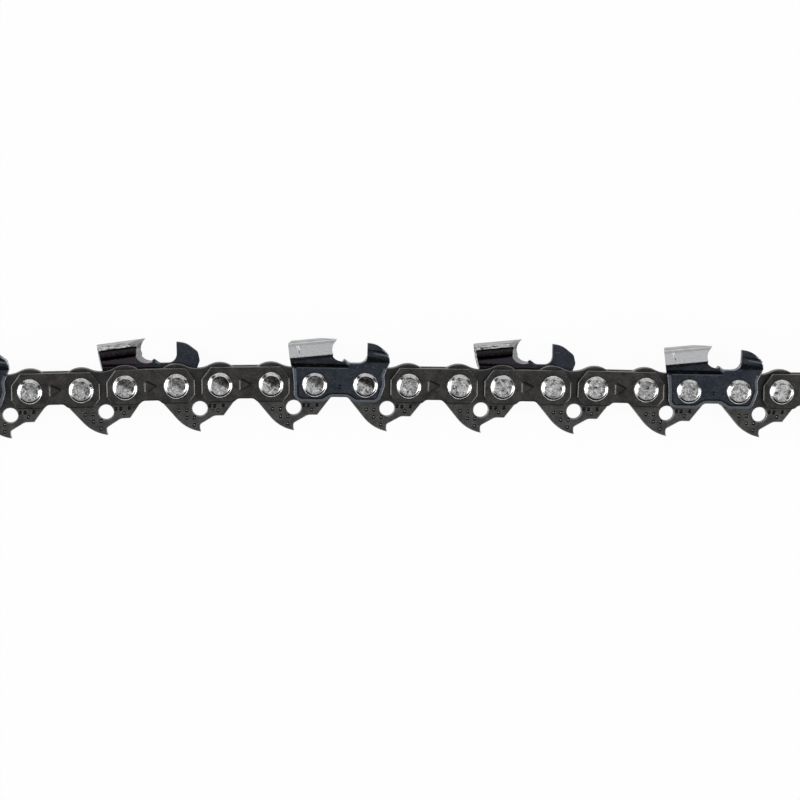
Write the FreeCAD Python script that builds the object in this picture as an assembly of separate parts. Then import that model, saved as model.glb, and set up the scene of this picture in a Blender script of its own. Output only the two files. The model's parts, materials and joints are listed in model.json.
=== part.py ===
import FreeCAD, Part
import math
import os

# A run of cutting chain for a small saw, laid on its side. The rivets stand along Z, the chain
# runs along X in its cutting direction, and the cutters point to +Y. Each drive link is
# hinged on the rivets of the pair of side links before and after it. Millimetres and degrees.

# Hole spacings. Their sum is two pitches of the chain, 2 x 8.255 mm.
DRIVE_SPACING = 7.60
SIDE_SPACING = 8.91

# Sheet gauges and running clearances
DRIVE_GAUGE = 1.47
SIDE_GAUGE = 1.45
SIDE_PLAY = 0.04
BORE_PLAY = 0.03

# Rivet: a flange that the drive link turns on, a hub in each side link, and two spun heads
FLANGE_RADIUS = 2.05
HUB_RADIUS = 1.62
HEAD_RADIUS = 2.28
HEAD_FLAT_RADIUS = 1.66
HEAD_HEIGHT = 0.75

# Drive link: two round ears with a saddle between them
EAR_RADIUS = 3.83
SADDLE_HEIGHT = 2.90

# Drive link's tang, measured from its middle: a round belly behind, a hook at the tip, and a
# ramp up to the heel
TANG_SLOPE = 50.2
TANG_DEPTH = 8.26
BELLY_RADIUS = 7.0
HOOK_TIP_OFFSET = 0.30
HOOK_FACE_OFFSET = 0.17
HOOK_LIP = 0.51
HOOK_HEIGHT = 1.30
HOOK_ROOT_RADIUS = 0.60
RAMP_TOP_OFFSET = 2.70
RAMP_TOP_RADIUS = 1.50
HEEL_DEPTH = 5.52
HEEL_REACH = 0.55
RELIEF_RADIUS = 1.32
RELIEF_DEPTH = 4.22
RELIEF_OFFSET = 0.22

# Tie strap: flat-ended ears with cut corners, and a waist below
STRAP_END = 3.20
STRAP_TOP = 3.10
STRAP_BOTTOM = 3.05
STRAP_WAIST = 2.42
STRAP_TOP_CORNER = 1.62
STRAP_BOTTOM_CORNER = 2.05
STRAP_FLAT_TOP = 1.05
STRAP_FLAT_BOTTOM = 1.55
STRAP_EAR = 2.35
STRAP_RAMP = 0.75
STRAP_RAMP_RADIUS = 0.95
STRAP_BEVEL_WIDTH = 0.20
STRAP_BEVEL_DEPTH = 0.10

# Cutter's chassis: the lower sheet, in the strap's plane, up to the crease
CHASSIS_REAR = 3.60
CHASSIS_REAR_FLARE = 0.34
CHASSIS_FRONT = 3.45
CHASSIS_FRONT_FLARE = 0.36
CHASSIS_TOE = 2.39
CHASSIS_NECK = 0.20
CHASSIS_NECK_HEIGHT = 1.75
CHASSIS_BOTTOM = 3.10
CHASSIS_HEEL_RADIUS = 1.90
CHASSIS_TOE_RADIUS = 1.55
CHASSIS_WAIST = 2.20
CHASSIS_EAR_REAR = 1.45
CHASSIS_EAR_FRONT = 1.73
CHASSIS_RAMP = 1.52
CHASSIS_CREASE = 3.00
EDGE_RADIUS = 1.00
COIN_WIDTH = 0.62
COIN_DEPTH = 0.15

# Cutter's tooth. The tip is the outer front corner of the top plate, measured from the rear
# rivet, and the top plate falls towards the rear.
TIP_REACH = 3.94
TIP_HEIGHT = 8.12
TOP_SLOPE = 6.15
HALF_KERF = 3.30
TOP_PLATE_WIDTH = 5.00
TOP_PLATE_EDGE = 0.78
TOP_PLATE_ROOT = 1.05
ROOT_FILLET = 0.45
SIDE_PLATE_HEIGHT = 2.62
CORNER_RADIUS = 0.50
TOOTH_REAR = 4.84
TOOTH_REAR_LEAN = 0.55
REAR_SKEW = 9.0
FILING_ANGLE = 30.0
FILE_RADIUS = 2.15
FILE_SETBACK = 1.45
FILE_TILT = 10.0

# Cutter's joggle: how the sheet steps out from the chassis to the side plate, as shares of the
# step, with the heights of the bends over the crease and under the side plate
JOGGLE_START = 0.08
JOGGLE_LOW = 0.60
JOGGLE_LOW_SHARE = 0.40
JOGGLE_HIGH = 0.42
JOGGLE_HIGH_SHARE = 0.58
BEND_RISE = 0.22
BLEND_RUN = 1.20

# Cutter's gullet and depth gauge. The gauge is measured from the front rivet, its bends are
# shares of its set-out and of that one's height, and its nose starts over the gullet's floor.
GULLET_FLOOR = 3.83
GULLET_RADIUS = 1.60
BUMP_HEIGHT = 4.53
BUMP_REACH = 5.18
BUMP_RISE = 0.30
BUMP_BACK = 0.35
BUMP_RUN = 1.00
GAUGE_HEIGHT = 7.42
GAUGE_BACK = 0.22
GAUGE_NOSE = 4.14
NOSE_FOOT = 0.25
NOSE_BULGE = 0.10
NOSE_RISE = 1.50
NOSE_LEAN = 0.29
GAUGE_CROWN = 1.94
GAUGE_CROWN_DROP = 0.27
GAUGE_CROWN_RADIUS = 6.0
GAUGE_SET = 0.60
GAUGE_SET_HEIGHT = 2.30
GAUGE_LOW = 0.55
GAUGE_LOW_SHARE = 0.70
GAUGE_HIGH = 0.83
GAUGE_HIGH_SHARE = 0.80
GAUGE_STEP = 0.60

# Lay of the links on the flat, from the first drive link to the last: each link's turn from
# the X axis. Drive links and side links take turns.
LINK_TURNS = (
    1.0, 1.0, 1.6,
    0.86, 3.28, 1.17, 1.22, 0.15, -0.24, -1.27, -1.77,
    -1.17, -1.29, -1.37, -1.22, -1.82, -1.78, -1.37, -0.66,
    -0.9, -0.6,
)

# Every fourth pair has a cutter on the near side, and the pair half-way has one on the far side
CUTTER_PERIOD = 4

# Round stretches are drawn with flats no longer than this turn. What a link hides has fewer,
# and a hinge bore is truly round over the arc that bears on the rivet when the chain is pulled.
ROUND_STEP = 22.5
HEAD_SIDES = 16
RELIEF_SIDES = 12
FLANGE_SIDES = 10
HUB_SIDES = 8
BORE_SIDES = 15
BEARING_ARC = 72.0

# How far the cutting shapes reach past what they cut
CUT_MARGIN = 3.0
TOOL_OVERRUN = 1.0

FLANGE_HALF = DRIVE_GAUGE / 2 + SIDE_PLAY
SIDE_OUTER = FLANGE_HALF + SIDE_GAUGE
BORE_RADIUS = FLANGE_RADIUS + BORE_PLAY


def polar(centre, radius, angle):
    """The point at an angle in degrees on a circle."""
    turn = math.radians(angle)
    return (centre[0] + radius * math.cos(turn), centre[1] + radius * math.sin(turn))


def arc_points(centre, radius, start, end):
    """Points from one angle to another on a circle, both ends included."""
    steps = max(1, math.ceil(abs(end - start) / ROUND_STEP - 0.01))
    return [polar(centre, radius, start + (end - start) * i / steps) for i in range(steps + 1)]


def corner_arc(before, corner, after, radius):
    """The points that round one corner of an outline, held within half of its shorter side."""
    into = (corner[0] - before[0], corner[1] - before[1])
    out = (after[0] - corner[0], after[1] - corner[1])
    heading = math.atan2(into[1], into[0])
    turn = math.remainder(math.atan2(out[1], out[0]) - heading, 2 * math.pi)
    if radius == 0 or abs(turn) < 1e-3:
        return [corner]
    half = math.tan(abs(turn) / 2)
    reach = min(radius * half, math.hypot(*into) / 2, math.hypot(*out) / 2)
    side = math.copysign(math.pi / 2, turn)
    start = polar(corner, -reach, math.degrees(heading))
    centre = polar(start, reach / half, math.degrees(heading + side))
    first = math.degrees(heading - side)
    return arc_points(centre, reach / half, first, first + math.degrees(turn))


def rounded(corners):
    """A closed outline from its corners, each an X, a Y and the radius that rounds it."""
    spots = [(x, y) for x, y, _ in corners]
    points = []
    for i, (_, _, radius) in enumerate(corners):
        points += corner_arc(spots[i - 1], spots[i], spots[(i + 1) % len(spots)], radius)
    return points


def face_at(points, height):
    """A flat face at one height over the XY plane."""
    corners = [FreeCAD.Vector(x, y, height) for x, y in points]
    return Part.Face(Part.makePolygon(corners + corners[:1]))


def prism(points, low, high):
    """An outline in the XY plane, extruded from one height to another."""
    return face_at(points, low).extrude(FreeCAD.Vector(0, 0, high - low))


def ring_points(centre, radius, sides):
    """The corners of a round bar of flats."""
    return [polar(centre, radius, 360 * (i + 0.5) / sides) for i in range(sides)]


def round_prism(centre, radius, sides, low, high):
    """A round bar of flats with its corners on the radius."""
    return prism(ring_points(centre, radius, sides), low, high)


def inset(points, widths):
    """An outline, counterclockwise, with each edge moved inwards by its own width."""
    moved = []
    count = len(points)
    for i in range(count):
        (ax, ay), (bx, by), (cx, cy) = points[i - 1], points[i], points[(i + 1) % count]
        before = math.hypot(bx - ax, by - ay)
        after = math.hypot(cx - bx, cy - by)
        n1 = ((ay - by) / before, (bx - ax) / before)
        n2 = ((by - cy) / after, (cx - bx) / after)
        w1, w2 = widths[i - 1], widths[i]
        cross = n1[0] * n2[1] - n1[1] * n2[0]
        if abs(cross) < 1e-6:
            moved.append((bx + n1[0] * w1, by + n1[1] * w1))
            continue
        dx = (w1 * n2[1] - w2 * n1[1]) / cross
        dy = (w2 * n1[0] - w1 * n2[0]) / cross
        moved.append((bx + dx, by + dy))
    return moved


def side_faces(a, b, c, d):
    """The side between two straight edges: one flat face where its corners allow it, else two."""
    normal = (b - a).cross(c - a)
    if normal.Length > 1e-9 and abs((d - a).dot(normal)) / normal.Length < 1e-6:
        return [Part.Face(Part.makePolygon([a, b, c, d, a]))]
    return [Part.Face(Part.makePolygon([a, b, c, a])), Part.Face(Part.makePolygon([a, c, d, a]))]


def ruled(sections):
    """A solid with straight sides through flat sections, each a list of as many 3D points."""
    rings = [[FreeCAD.Vector(*point) for point in section] for section in sections]
    faces = [Part.Face(Part.makePolygon(ring + ring[:1])) for ring in (rings[0], rings[-1])]
    for near, far in zip(rings, rings[1:]):
        for i in range(len(near)):
            faces += side_faces(near[i - 1], near[i], far[i], far[i - 1])
    shell = Part.makeShell(faces)
    shell.sewShape()
    solid = Part.makeSolid(shell)
    if solid.Volume < 0:
        solid.reverse()
    return solid


def bevelled_plate(points, widths, depth):
    """A side link's sheet from its inner face to its outer one, with a bevel round the outer face."""
    shoulder = SIDE_OUTER - depth
    body = prism(points, FLANGE_HALF, shoulder)
    inner = inset(points, widths)
    cap = ruled([[(x, y, shoulder) for x, y in points], [(x, y, SIDE_OUTER) for x, y in inner]])
    return body.fuse(cap).removeSplitter()


def hub_holes():
    """The two holes that the rivet hubs fill in a side link."""
    low, high = FLANGE_HALF - CUT_MARGIN, SIDE_OUTER + CUT_MARGIN
    holes = [round_prism((x, 0), HUB_RADIUS, HUB_SIDES, low, high) for x in (0, SIDE_SPACING)]
    return Part.makeCompound(holes)


def tangent_from(point, centre, radius):
    """The angle on a circle where a line from an outside point touches it, on the right-hand side."""
    dx, dy = point[0] - centre[0], point[1] - centre[1]
    return math.degrees(math.atan2(dy, dx) + math.acos(radius / math.hypot(dx, dy)))


def drive_link_outline():
    """The drive link's outline from its left ear, counterclockwise."""
    middle = DRIVE_SPACING / 2
    right = (DRIVE_SPACING, 0)
    saddle_radius = (middle**2 + SADDLE_HEIGHT**2 - EAR_RADIUS**2) / (2 * (EAR_RADIUS - SADDLE_HEIGHT))
    saddle = (middle, SADDLE_HEIGHT + saddle_radius)
    saddle_turn = math.degrees(math.atan2(saddle[1], middle))

    back_turn = 270 - TANG_SLOPE
    back = polar((0, 0), 1, back_turn)
    tip = (middle + HOOK_TIP_OFFSET, -TANG_DEPTH)
    reach = (EAR_RADIUS - BELLY_RADIUS - back[0] * tip[0] - back[1] * tip[1]) / BELLY_RADIUS
    tip_turn = back_turn - math.degrees(math.acos(reach)) + 180
    belly = polar(tip, -BELLY_RADIUS, tip_turn)

    lip = (middle + HOOK_FACE_OFFSET, HOOK_LIP - TANG_DEPTH)
    root = (lip[0], HOOK_HEIGHT - TANG_DEPTH)
    ramp_top = (middle + RAMP_TOP_OFFSET, -HEEL_DEPTH)
    heel = (DRIVE_SPACING + HEEL_REACH, -HEEL_DEPTH)
    front_turn = tangent_from(heel, right, EAR_RADIUS)
    return (
        arc_points((0, 0), EAR_RADIUS, saddle_turn, back_turn)
        + arc_points(belly, BELLY_RADIUS, back_turn, tip_turn)
        + [lip]
        + corner_arc(lip, root, ramp_top, HOOK_ROOT_RADIUS)
        + corner_arc(root, ramp_top, heel, RAMP_TOP_RADIUS)
        + [heel]
        + arc_points(right, EAR_RADIUS, front_turn, 180 - saddle_turn)
        + arc_points(saddle, saddle_radius, 360 - saddle_turn, 180 + saddle_turn)[1:-1]
    )


def hinge_bore(x, outwards, low, high):
    """A rivet flange's room: a true arc on the side that the pull loads, and flats round the rest."""
    step = 360 / BORE_SIDES
    start, end = outwards + BEARING_ARC / 2, outwards - BEARING_ARC / 2 + 360
    corner_radius = BORE_RADIUS / math.cos(math.radians(step / 2))
    count = round((end - start) / step)
    corners = [polar((x, 0), corner_radius, start + step * (i + 0.5)) for i in range(count)]
    flats = [polar((x, 0), BORE_RADIUS, start)] + corners + [polar((x, 0), BORE_RADIUS, end)]
    middle = polar((x, 0), BORE_RADIUS, outwards)
    spots = [FreeCAD.Vector(px, py, low) for px, py in flats]
    arc = Part.Arc(spots[-1], FreeCAD.Vector(middle[0], middle[1], low), spots[0]).toShape()
    outline = Part.Wire(Part.makePolygon(spots).Edges + [arc])
    return Part.Face(outline).extrude(FreeCAD.Vector(0, 0, high - low))


def drive_link(free_hole=None):
    """The link that the sprocket pulls, in the middle plane. A hole with no rivet is truly round."""
    half = DRIVE_GAUGE / 2
    plate = prism(drive_link_outline(), -half, half)
    for hole, x in enumerate((0, DRIVE_SPACING)):
        if hole == free_hole:
            bore = Part.makeCylinder(BORE_RADIUS, DRIVE_GAUGE, FreeCAD.Vector(x, 0, -half))
        else:
            bore = hinge_bore(x, 180 * (1 - hole), -half, half)
        plate = plate.cut(bore)
    relief = (DRIVE_SPACING / 2 + RELIEF_OFFSET, -RELIEF_DEPTH)
    return plate.cut(round_prism(relief, RELIEF_RADIUS, RELIEF_SIDES, -half, half))


def tie_strap_outline():
    """The tie strap's outline, counterclockwise, alike at both ends."""
    half = [
        (-STRAP_TOP_CORNER, STRAP_TOP, 0),
        (-STRAP_END, STRAP_FLAT_TOP, 0),
        (-STRAP_END, -STRAP_FLAT_BOTTOM, 0),
        (-STRAP_BOTTOM_CORNER, -STRAP_BOTTOM, 0),
        (STRAP_EAR, -STRAP_BOTTOM, STRAP_RAMP_RADIUS),
        (STRAP_EAR + STRAP_RAMP, -STRAP_WAIST, STRAP_RAMP_RADIUS),
    ]
    return rounded(half + [(SIDE_SPACING - x, y, radius) for x, y, radius in reversed(half)])


def tie_strap():
    """The plain side link, on the near side."""
    outline = tie_strap_outline()
    plate = bevelled_plate(outline, [STRAP_BEVEL_WIDTH] * len(outline), STRAP_BEVEL_DEPTH)
    return plate.cut(hub_holes())


def top_height(x):
    """Height of the top plate's outer face over the rivets at a place along the tooth."""
    return TIP_HEIGHT - math.tan(math.radians(TOP_SLOPE)) * (TIP_REACH - x)


def chassis_outline():
    """The cutter's lower sheet, counterclockwise from the crease at its rear."""
    front = SIDE_SPACING + CHASSIS_FRONT
    front_ear = SIDE_SPACING - CHASSIS_EAR_FRONT
    return rounded([
        (-CHASSIS_REAR - CHASSIS_REAR_FLARE, CHASSIS_CREASE, 0),
        (-CHASSIS_REAR, 0, EDGE_RADIUS),
        (-CHASSIS_REAR, -CHASSIS_BOTTOM, CHASSIS_HEEL_RADIUS),
        (CHASSIS_EAR_REAR, -CHASSIS_BOTTOM, EDGE_RADIUS),
        (CHASSIS_EAR_REAR + CHASSIS_RAMP, -CHASSIS_WAIST, EDGE_RADIUS),
        (front_ear - CHASSIS_RAMP, -CHASSIS_WAIST, EDGE_RADIUS),
        (front_ear, -CHASSIS_BOTTOM, EDGE_RADIUS),
        (SIDE_SPACING + CHASSIS_TOE, -CHASSIS_BOTTOM, CHASSIS_TOE_RADIUS),
        (front, 0, EDGE_RADIUS),
        (front - CHASSIS_NECK, CHASSIS_NECK_HEIGHT, EDGE_RADIUS),
        (front + CHASSIS_FRONT_FLARE, CHASSIS_CREASE, 0),
    ])


def chassis():
    """The cutter's lower sheet, with a coined border round its outer face but not at the crease."""
    outline = chassis_outline()
    return bevelled_plate(outline, [COIN_WIDTH] * (len(outline) - 1) + [0.0], COIN_DEPTH)


def wall_section(x, bends, top):
    """The sheet above the crease, cut across. Each bend is a set-out and a height over the crease."""
    set_out = bends[-1][0]
    outer = [(0, 0)] + bends
    inner = [(0, 0)] + [(step, rise + BEND_RISE) for step, rise in bends]
    near = [(x, CHASSIS_CREASE + rise, SIDE_OUTER + step) for step, rise in outer]
    far = [(x, CHASSIS_CREASE + rise, FLANGE_HALF + step) for step, rise in reversed(inner)]
    return near + [(x, top, SIDE_OUTER + set_out), (x, top, FLANGE_HALF + set_out)] + far


def tooth_wall(x):
    """The joggle and side plate where the tooth is."""
    step = HALF_KERF - SIDE_OUTER
    plate_foot = top_height(x) - SIDE_PLATE_HEIGHT - CHASSIS_CREASE
    bends = [
        (0, JOGGLE_START),
        (JOGGLE_LOW_SHARE * step, JOGGLE_LOW),
        (JOGGLE_HIGH_SHARE * step, plate_foot - JOGGLE_HIGH),
        (step, plate_foot),
    ]
    return wall_section(x, bends, top_height(x) - TOP_PLATE_EDGE / 2)


def gauge_wall(x, set_out):
    """The sheet of the depth gauge, or the flat one behind it where it isn't set out."""
    foot = GULLET_FLOOR - CHASSIS_CREASE
    bends = [
        (0, foot),
        (GAUGE_LOW_SHARE * set_out, foot + GAUGE_LOW * GAUGE_SET_HEIGHT),
        (GAUGE_HIGH_SHARE * set_out, foot + GAUGE_HIGH * GAUGE_SET_HEIGHT),
        (set_out, foot + GAUGE_SET_HEIGHT),
    ]
    return wall_section(x, bends, GAUGE_HEIGHT + TOOL_OVERRUN)


def top_plate_section(x):
    """The top plate cut across, with its rounded outer corner and its thin inner edge."""
    top = top_height(x)
    inner_edge = HALF_KERF - TOP_PLATE_WIDTH
    side_inner = HALF_KERF - SIDE_GAUGE
    root = top - TOP_PLATE_ROOT
    corner = (HALF_KERF - CORNER_RADIUS, top - CORNER_RADIUS)
    bend = [(x, height, z) for z, height in arc_points(corner, CORNER_RADIUS, 0, 90)]
    return bend + [
        (x, top, inner_edge),
        (x, top - TOP_PLATE_EDGE, inner_edge),
        (x, root, side_inner - ROOT_FILLET),
        (x, root - ROOT_FILLET, side_inner),
        (x, root - ROOT_FILLET, HALF_KERF),
    ]


def upper_outline():
    """The cutter above the crease, seen from the side: depth gauge, gullet, bump and tooth."""
    front = SIDE_SPACING + CHASSIS_FRONT
    back = SIDE_SPACING + GAUGE_BACK
    nose = SIDE_SPACING + GAUGE_NOSE
    high = TIP_HEIGHT + CUT_MARGIN
    rear = -TOOTH_REAR - TOOL_OVERRUN
    return rounded([
        (rear, CHASSIS_CREASE, 0),
        (front + CHASSIS_FRONT_FLARE, CHASSIS_CREASE, 0),
        (nose + NOSE_BULGE, GULLET_FLOOR + NOSE_FOOT, EDGE_RADIUS),
        (nose + NOSE_BULGE - NOSE_LEAN, GULLET_FLOOR + NOSE_FOOT + NOSE_RISE, EDGE_RADIUS),
        (SIDE_SPACING + GAUGE_CROWN, GAUGE_HEIGHT - GAUGE_CROWN_DROP, GAUGE_CROWN_RADIUS),
        (back, GAUGE_HEIGHT, 0),
        (back, GULLET_FLOOR, GULLET_RADIUS),
        (BUMP_REACH + BUMP_RUN, GULLET_FLOOR, EDGE_RADIUS),
        (BUMP_REACH, BUMP_HEIGHT, 0),
        (BUMP_REACH - BUMP_BACK, BUMP_HEIGHT - BUMP_RISE, 0),
        (BUMP_REACH - BUMP_BACK, high, 0),
        (rear, high, 0),
    ])


def slanted_prism(points, angle, depth, drop=0):
    """An outline over the tooth's outer face, extruded inwards, back at an angle and down by a drop."""
    shift = math.tan(math.radians(angle)) * depth
    return face_at(points, HALF_KERF + TOOL_OVERRUN).extrude(FreeCAD.Vector(shift, -drop, -depth))


def file_cut():
    """What a round file takes off the front of the tooth, from its tip back along the filing angle.

    The file goes in lower than it comes out, touches the tip and stops short of the gullet's bump.
    """
    depth = TOP_PLATE_WIDTH + 2 * TOOL_OVERRUN
    slant = math.radians(FILING_ANGLE)
    tilt = math.radians(FILE_TILT)
    back, down = math.sin(slant) * math.cos(tilt), math.sin(tilt)
    direction = FreeCAD.Vector(-back, -down, -math.cos(slant) * math.cos(tilt))
    lean = FILE_SETBACK * back * down
    room = FILE_RADIUS**2 - FILE_SETBACK**2 * (1 - back**2)
    rise = (math.sqrt(lean**2 + room * (1 - down**2)) - lean) / (1 - down**2)
    centre = FreeCAD.Vector(TIP_REACH + FILE_SETBACK, TIP_HEIGHT - rise, HALF_KERF)
    length = depth / math.cos(slant) + 2 * FILE_RADIUS
    file_bar = Part.makeCylinder(FILE_RADIUS, length, centre - direction * FILE_RADIUS, direction)

    drop = math.tan(tilt) / math.cos(slant)
    high = TIP_HEIGHT + CUT_MARGIN + drop * depth
    level = centre.y + drop * TOOL_OVERRUN
    start = TIP_REACH + math.tan(slant) * TOOL_OVERRUN
    end = start + BUMP_REACH - TIP_REACH + math.tan(slant) * TOP_PLATE_WIDTH
    front = [(start, level), (end, level), (end, high), (start, high)]
    above = slanted_prism(front, -FILING_ANGLE, depth, drop * depth)

    lip = BUMP_REACH - BUMP_BACK
    away, low = lip - 4 * FILE_RADIUS, level - 2 * FILE_RADIUS
    behind_bump = prism([(away, low), (lip, low), (lip, high), (away, high)], -2 * HALF_KERF, 2 * HALF_KERF)
    return file_bar.common(behind_bump).fuse(above)


def rear_cut():
    """What is trimmed off behind the tooth, down to the crease."""
    depth = TOP_PLATE_WIDTH + 2 * TOOL_OVERRUN
    high = TIP_HEIGHT + CUT_MARGIN
    step = math.tan(math.radians(REAR_SKEW)) * TOOL_OVERRUN
    top = (-TOOTH_REAR - step, top_height(-TOOTH_REAR))
    foot = (top[0] + TOOTH_REAR_LEAN, CHASSIS_CREASE)
    away = top[0] - CUT_MARGIN
    return slanted_prism([(top[0], high), top, foot, (away, CHASSIS_CREASE), (away, high)], REAR_SKEW, depth)


def cutter():
    """The cutting link, on the near side, its tooth filed from inside to outside."""
    rear = -TOOTH_REAR - TOOL_OVERRUN
    back = SIDE_SPACING + GAUGE_BACK
    wall = ruled([
        tooth_wall(rear),
        tooth_wall(BUMP_REACH),
        gauge_wall(BUMP_REACH + BLEND_RUN, 0),
        gauge_wall(back - GAUGE_STEP, 0),
        gauge_wall(back, GAUGE_SET),
        gauge_wall(SIDE_SPACING + GAUGE_NOSE + TOOL_OVERRUN, GAUGE_SET),
    ])
    top_plate = ruled([top_plate_section(rear), top_plate_section(BUMP_REACH)])
    upper = wall.fuse(top_plate).common(prism(upper_outline(), -2 * HALF_KERF, 2 * HALF_KERF))
    upper = upper.cut([file_cut(), rear_cut()])
    return chassis().fuse(upper).removeSplitter().cut(hub_holes())


def rivet():
    """A stepped rivet, its two ends spun into heads over the side links."""
    flange = round_prism((0, 0), FLANGE_RADIUS, FLANGE_SIDES, -FLANGE_HALF, FLANGE_HALF)
    body = flange.fuse(round_prism((0, 0), HUB_RADIUS, HUB_SIDES, -SIDE_OUTER, SIDE_OUTER))
    for side in (1, -1):
        foot = ring_points((0, 0), HEAD_RADIUS, HEAD_SIDES)
        crown = ring_points((0, 0), HEAD_FLAT_RADIUS, HEAD_SIDES)
        low, high = side * SIDE_OUTER, side * (SIDE_OUTER + HEAD_HEIGHT)
        body = body.fuse(ruled([[(x, y, low) for x, y in foot], [(x, y, high) for x, y in crown]]))
    return body.removeSplitter()


def far_side(shape):
    """A near-side link turned into the far-side one, its mirror image."""
    return shape.mirror(FreeCAD.Vector(0, 0, 0), FreeCAD.Vector(0, 0, 1))


def hole_places():
    """Where the holes of the links lie along the run, from the first drive link's free one."""
    places = [(0.0, 0.0)]
    for i, turn in enumerate(LINK_TURNS):
        spacing = DRIVE_SPACING if i % 2 == 0 else SIDE_SPACING
        places.append(polar(places[-1], spacing, turn))
    return places


def laid(shape, place, turn):
    """A link moved to its place in the run."""
    spot = FreeCAD.Vector(place[0], place[1], 0)
    copy = shape.copy()
    copy.Placement = FreeCAD.Placement(spot, FreeCAD.Rotation(FreeCAD.Vector(0, 0, 1), turn))
    return copy


def side_kinds(pair):
    """The near and the far link of a pair, counted from nought."""
    if pair % CUTTER_PERIOD == 0:
        return "cutter", "tie_strap"
    if pair % CUTTER_PERIOD == CUTTER_PERIOD // 2:
        return "tie_strap", "cutter"
    return "tie_strap", "tie_strap"


def build():
    """Every piece of the run by its name, on a floor at Z 0 and centred over the origin."""
    drive = {None: drive_link(), 0: drive_link(free_hole=0), 1: drive_link(free_hole=1)}
    near = {"cutter": cutter(), "tie_strap": tie_strap()}
    far = {kind: far_side(shape) for kind, shape in near.items()}
    pin = rivet()
    places = hole_places()
    free_holes = {0: 0, len(LINK_TURNS) - 1: 1}
    pieces = {}
    for i, turn in enumerate(LINK_TURNS):
        number = i // 2
        if i % 2 == 0:
            shape = drive[free_holes.get(i)]
            pieces[f"drive_link_{number + 1:02d}"] = laid(shape, places[i], turn)
            continue
        near_kind, far_kind = side_kinds(number)
        pieces[f"near_{near_kind}_{number + 1:02d}"] = laid(near[near_kind], places[i], turn)
        pieces[f"far_{far_kind}_{number + 1:02d}"] = laid(far[far_kind], places[i], turn)
        for end in (0, 1):
            pieces[f"rivet_{i + end:02d}"] = laid(pin, places[i + end], turn)
    box = Part.makeCompound(list(pieces.values())).optimalBoundingBox(False, False)
    shift = FreeCAD.Vector(-(box.XMin + box.XMax) / 2, -(box.YMin + box.YMax) / 2, -box.ZMin)
    for shape in pieces.values():
        shape.translate(shift)
    return pieces, shift


if __name__ == "__main__":
    os.makedirs("parts", exist_ok=True)
    PIECES, SHIFT = build()
    for node, solid in PIECES.items():
        solid.exportStep(f"parts/{node}.step")
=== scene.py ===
import json
import math

import bpy
import numpy as np
from mathutils import Matrix, Vector
from mathutils.geometry import delaunay_2d_cdt


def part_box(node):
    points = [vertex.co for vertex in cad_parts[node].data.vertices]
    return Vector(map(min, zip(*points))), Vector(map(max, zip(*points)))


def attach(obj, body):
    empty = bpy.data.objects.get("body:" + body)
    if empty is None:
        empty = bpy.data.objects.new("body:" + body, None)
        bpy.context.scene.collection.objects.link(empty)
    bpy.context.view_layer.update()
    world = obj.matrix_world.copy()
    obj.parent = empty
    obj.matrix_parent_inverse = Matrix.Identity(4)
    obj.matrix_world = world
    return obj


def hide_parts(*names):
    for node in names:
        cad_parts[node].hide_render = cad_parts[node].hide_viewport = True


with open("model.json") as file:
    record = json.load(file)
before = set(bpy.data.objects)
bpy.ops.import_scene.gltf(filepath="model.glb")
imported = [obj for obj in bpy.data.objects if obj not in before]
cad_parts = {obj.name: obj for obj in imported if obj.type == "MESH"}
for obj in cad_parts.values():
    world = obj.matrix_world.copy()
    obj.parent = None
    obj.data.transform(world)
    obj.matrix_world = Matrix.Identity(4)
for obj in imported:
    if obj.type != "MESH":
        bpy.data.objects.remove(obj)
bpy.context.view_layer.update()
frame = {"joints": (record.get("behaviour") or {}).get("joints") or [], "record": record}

# Link shapes are in millimetres, with X along the link from its rear hole, Y towards the cutting
# side and Z along the rivets from the middle plane. MM turns them into metres.
MM = 0.001

# Drive link
EAR_RADIUS = 3.811
SADDLE_HEIGHT = 2.90
TANG_SLOPE = 50.2
TANG_DEPTH = 8.26
BELLY_RADIUS = 7.0
HOOK_TIP_OFFSET = 0.30
HOOK_FACE_OFFSET = 0.17
HOOK_LIP = 0.51
HOOK_HEIGHT = 1.30
HOOK_ROOT_RADIUS = 0.60
RAMP_TOP_OFFSET = 2.70
RAMP_TOP_RADIUS = 1.50
HEEL_DEPTH = 5.52
HEEL_REACH = 0.55
HEEL_RADIUS = 0.12
RELIEF_RADIUS = 1.32
RELIEF_DEPTH = 4.22
RELIEF_OFFSET = 0.22
BORE_RADIUS = 2.08

# Oil pits: a stair of five in the drive link's tang, four by its heel, and one in a cutter
PIT_RADIUS = 0.36
PIT_DEPTH = 0.20
PIT_LIP = 0.015
TANG_PITS = ((0.35, -4.45), (1.70, -4.45), (1.70, -5.75), (3.00, -5.75), (2.95, -7.05))
HEEL_PITS = ((5.75, -3.75), (6.60, -3.80), (8.10, -3.75), (7.15, -4.60))
DRIVE_PITS = TANG_PITS + HEEL_PITS
DARK_PITS = HEEL_PITS[:3]
CUTTER_PITS = ((4.40, -0.40),)

# Tie strap: corners of its rear half as X and Y from its rear rivet and the radius that rounds them
STRAP_REAR = (
    (-1.62, 3.10, 0.10), (-3.20, 1.05, 0.10), (-3.20, -1.55, 0.10),
    (-2.05, -3.05, 0.10), (2.35, -3.05, 0.95), (3.10, -2.42, 0.95),
)
STRAP_BEVEL_WIDTH = 0.20
STRAP_BEVEL_DEPTH = 0.10
STRAP_ROUND = 0.03

# Direction mark stamped in the middle of a tie strap: a bar and two strokes that point forwards
MARK = (((3.45, -0.85), (3.45, 0.75)), ((3.75, 0.95), (5.45, 0.10)), ((5.45, 0.10), (3.95, -0.85)))
MARK_WIDTH = 0.17
MARK_DEPTH = 0.12
MARK_AREA = ((3.1, -1.2), (5.8, 1.25))

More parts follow.
